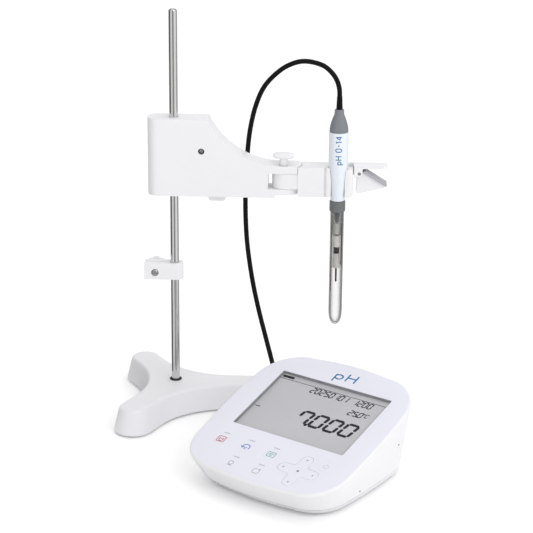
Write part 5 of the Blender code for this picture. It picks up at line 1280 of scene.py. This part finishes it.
# %% Icons and captions
RED, BLUE, GREEN, SOFT_GREY = (0.42, 0.06, 0.12), (0.05, 0.1, 0.5), (0.05, 0.3, 0.26), (0.3, 0.31, 0.34)
square = rounded((0, 0), 7.6, 7.0, 1.0, 3)
cup = [(-1.9, 1.9), (-1.9, -0.7)] + arc((0, -0.7), 1.9, 180, 360, 8) + [(1.9, 1.9)]
print_on("icon_red", [
    ribbon(square, 0.7, closed=True),
    ribbon(cup, 0.7),
    ribbon([(-1.9, 0.5), (1.9, 0.5)], 0.6),
], "key_red", RED, KEYS["key_red"])
print_on("icon_blue", [
    ribbon(arc((0, -0.6), 3.6, -30, 205, 18), 0.8),
    ribbon([(-5.0, -0.2), (-3.3, -2.3), (-1.4, -0.5)], 0.7),
    ribbon(arc((0.2, -2.0), 1.3, 20, 330, 12), 0.6),
], "key_blue", BLUE, KEYS["key_blue"])
print_on("icon_green", [
    ribbon(rounded((0, 0), 7.8, 5.8, 0.8, 3), 0.6, closed=True),
    ribbon([(-2.2, 0.8), (2.2, 0.8)], 0.7),
    ribbon([(-2.2, -0.9), (1.0, -0.9)], 0.7),
], "key_green", GREEN, KEYS["key_green"])
print_on("icon_grey_left", [
    ribbon(arc((0, 0.6), 2.2, 0, 345, 16), 0.6, closed=True),
    ribbon([(-2.6, -2.6), (2.6, -2.6)], 0.7),
    ribbon([(0, -1.6), (0, -2.6)], 0.6),
], "key_grey_left", SOFT_GREY, KEYS["key_grey_left"])
print_on("icon_grey_right", [
    ribbon(rounded((0, 0), 6.2, 5.4, 1.6, 4), 0.55, closed=True),
    ribbon([(2.0, 3.6), (3.4, 2.6)], 0.6),
], "key_grey_right", SOFT_GREY, KEYS["key_grey_right"])
print_on("icon_power", [
    ribbon(arc((0, 0), 2.4, 125, 415, 20), 0.45),
    ribbon([(0, 3.2), (0, 0.8)], 0.45),
], "key_power", (0.5, 0.51, 0.56), KEYS["key_power"])
arrow = ((14.6, 1.1), (14.6, -1.1), (16.4, 0))
dots = []
for quarter in range(4):
    turn = Matrix.Rotation(math.radians(90 * quarter), 2)
    dots.append(prism([tuple(turn @ Vector(point)) for point in arrow], 0, 0.05))
print_on("icon_arrows", dots, "key_arrow_pad", (0.25, 0.26, 0.3), PAD_AT)
print_on("icon_centre", [rod_body(1.3, 0, 0.05, 24)], "key_centre", (0.25, 0.26, 0.3), PAD_AT)
labels = []
for name, (x, y) in KEYS.items():
    if name != "key_power":
        labels.append(block((x - 2.6, y + 8.4, 0), (x + 3.4, y + 9.3, 0.05)))
print_on("key_labels", labels, "stand", (0.4, 0.41, 0.46))
print("keys have", len(labels), "captions")

# %% [markdown]
# ## Printed marks on the casing and the cap
# The real set carries its maker's words. Here their places are taken by what any such instrument could say:
# the quantity it measures, in the same blue, drawn from strokes.

# %% Generic marks
MARK_BLUE = (0.02, 0.17, 0.38)
LETTERS = {
    "p": [([(0, -2.6), (0, 5)], False), ([(0, 4.2)] + arc((2.2, 2.6), 2.2, 140, -140, 14) + [(0, 1.0)], False)],
    "H": [([(0, 0), (0, 7.6)], False), ([(5.2, 0), (5.2, 7.6)], False), ([(0, 3.9), (5.2, 3.9)], False)],
    "0": [(rounded((2.4, 3.8), 4.8, 7.6, 2.3, 6), True)],
    "-": [([(0.6, 3.8), (3.6, 3.8)], False)],
    "1": [([(0.4, 6.2), (2.0, 7.6), (2.0, 0)], False)],
    "4": [([(4.0, 0), (4.0, 7.6), (0.2, 2.2), (5.4, 2.2)], False)],
}
ADVANCE = {"p": 7.0, "H": 8.4, "0": 7.2, "-": 5.6, "1": 5.0, "4": 6.0, " ": 3.4}


def strokes_of(text):
    """The strokes of a line of text, each with whether it is a loop."""
    left, strokes = 0.0, []
    for character in text:
        for points, loop in LETTERS.get(character, []):
            strokes.append(([(x + left, y) for x, y in points], loop))
        left += ADVANCE[character]
    return strokes


word = [ribbon([(x * 1.75, y * 1.4) for x, y in points], 1.6, closed=loop) for points, loop in strokes_of("pH")]
for body in word:
    body.transform(Matrix.Translation((-8.0, 64.0, 0)))
print_on("panel_mark", word, "stand", MARK_BLUE)


def wrap(body, radius, turn, height):
    """Bends a flat mark round the cap, running upwards."""
    for vertex in body.verts:
        across, along, out = vertex.co
        angle = math.radians(turn) + across / radius
        reach = radius + out
        vertex.co = (SEAT_X + reach * math.cos(angle), SEAT_Y + reach * math.sin(angle), height + along)
    return body


band = []
for points, loop in strokes_of("pH 0-14"):
    around = points + points[:1] if loop else points
    fine = []
    for a, b in zip(around, around[1:]):
        for step in range(4):
            fine.append((a[0] + (b[0] - a[0]) * step / 4, a[1] + (b[1] - a[1]) * step / 4))
    if not loop:
        fine.append(points[-1])
    band.append(wrap(ribbon([(3.0 - y * 0.72, x * 0.64) for x, y in fine], 0.85, closed=loop), 9.1, -91, 248.4))
print("cap's mark has", len(band), "strokes")
piece("cap_mark", together(*band), STAND, "electrode", moulded("cap_ink", MARK_BLUE, 0.4, grain=0.02), smooth=20)

# %% [markdown]
# ## Small marks
# Two moulded pips low on the casing's right side show where the halves clip together. Their dark grey is
# painted shade for small dark hollows there. A strap holds the cable's coil together.

# %% Clip pips and coil strap
def on_wall(share_round, z):
    low, high = foot_ring(0, 0), rim_ring(0, 2.4)
    number = int(share_round * len(low))
    return low[number].lerp(high[number], z / high[number].z)


for number, (share_round, z) in enumerate(((0.251, 36.2), (0.181, 13.0))):
    spot = on_wall(share_round, z)
    pip_profile = [(0, -0.6), (0.9, -0.6), (0.9, 0.25), (0.6, 0.4), (0, 0.4)]
    # Dark grey pips: painted shade standing in for small clip hollows in the wall.
    piece(f"clip_pip_{number + 1}", spun(pip_profile, 24, "X", tuple(spot)), METER, "stand", GREY_AND_SHADE)

strap_angle = math.radians(95)
strap_at = (COIL_AT[0] + COIL_RADIUS * math.cos(strap_angle), COIL_AT[1] + COIL_RADIUS * math.sin(strap_angle),
            (COIL_HIGH + COIL_LOW) / 2)
strap_loop = rounded((0, 0), 6.4, 20.0, 2.6, 6)
strap_rings = [[(x * grow, y, z * (1 + (grow - 1) * 0.32)) for x, z in strap_loop]
               for grow, y in ((1, -2.2), (1.25, -2.2), (1.25, 2.2), (1, 2.2))]
strap = loft(strap_rings, closed=True)
strap.transform(Matrix.Translation(strap_at) @ Matrix.Rotation(strap_angle, 4, "Z"))
piece("coil_strap", strap, STAND, "stand", DARK, smooth=40)
print("made", len(bpy.data.materials), "materials in all")
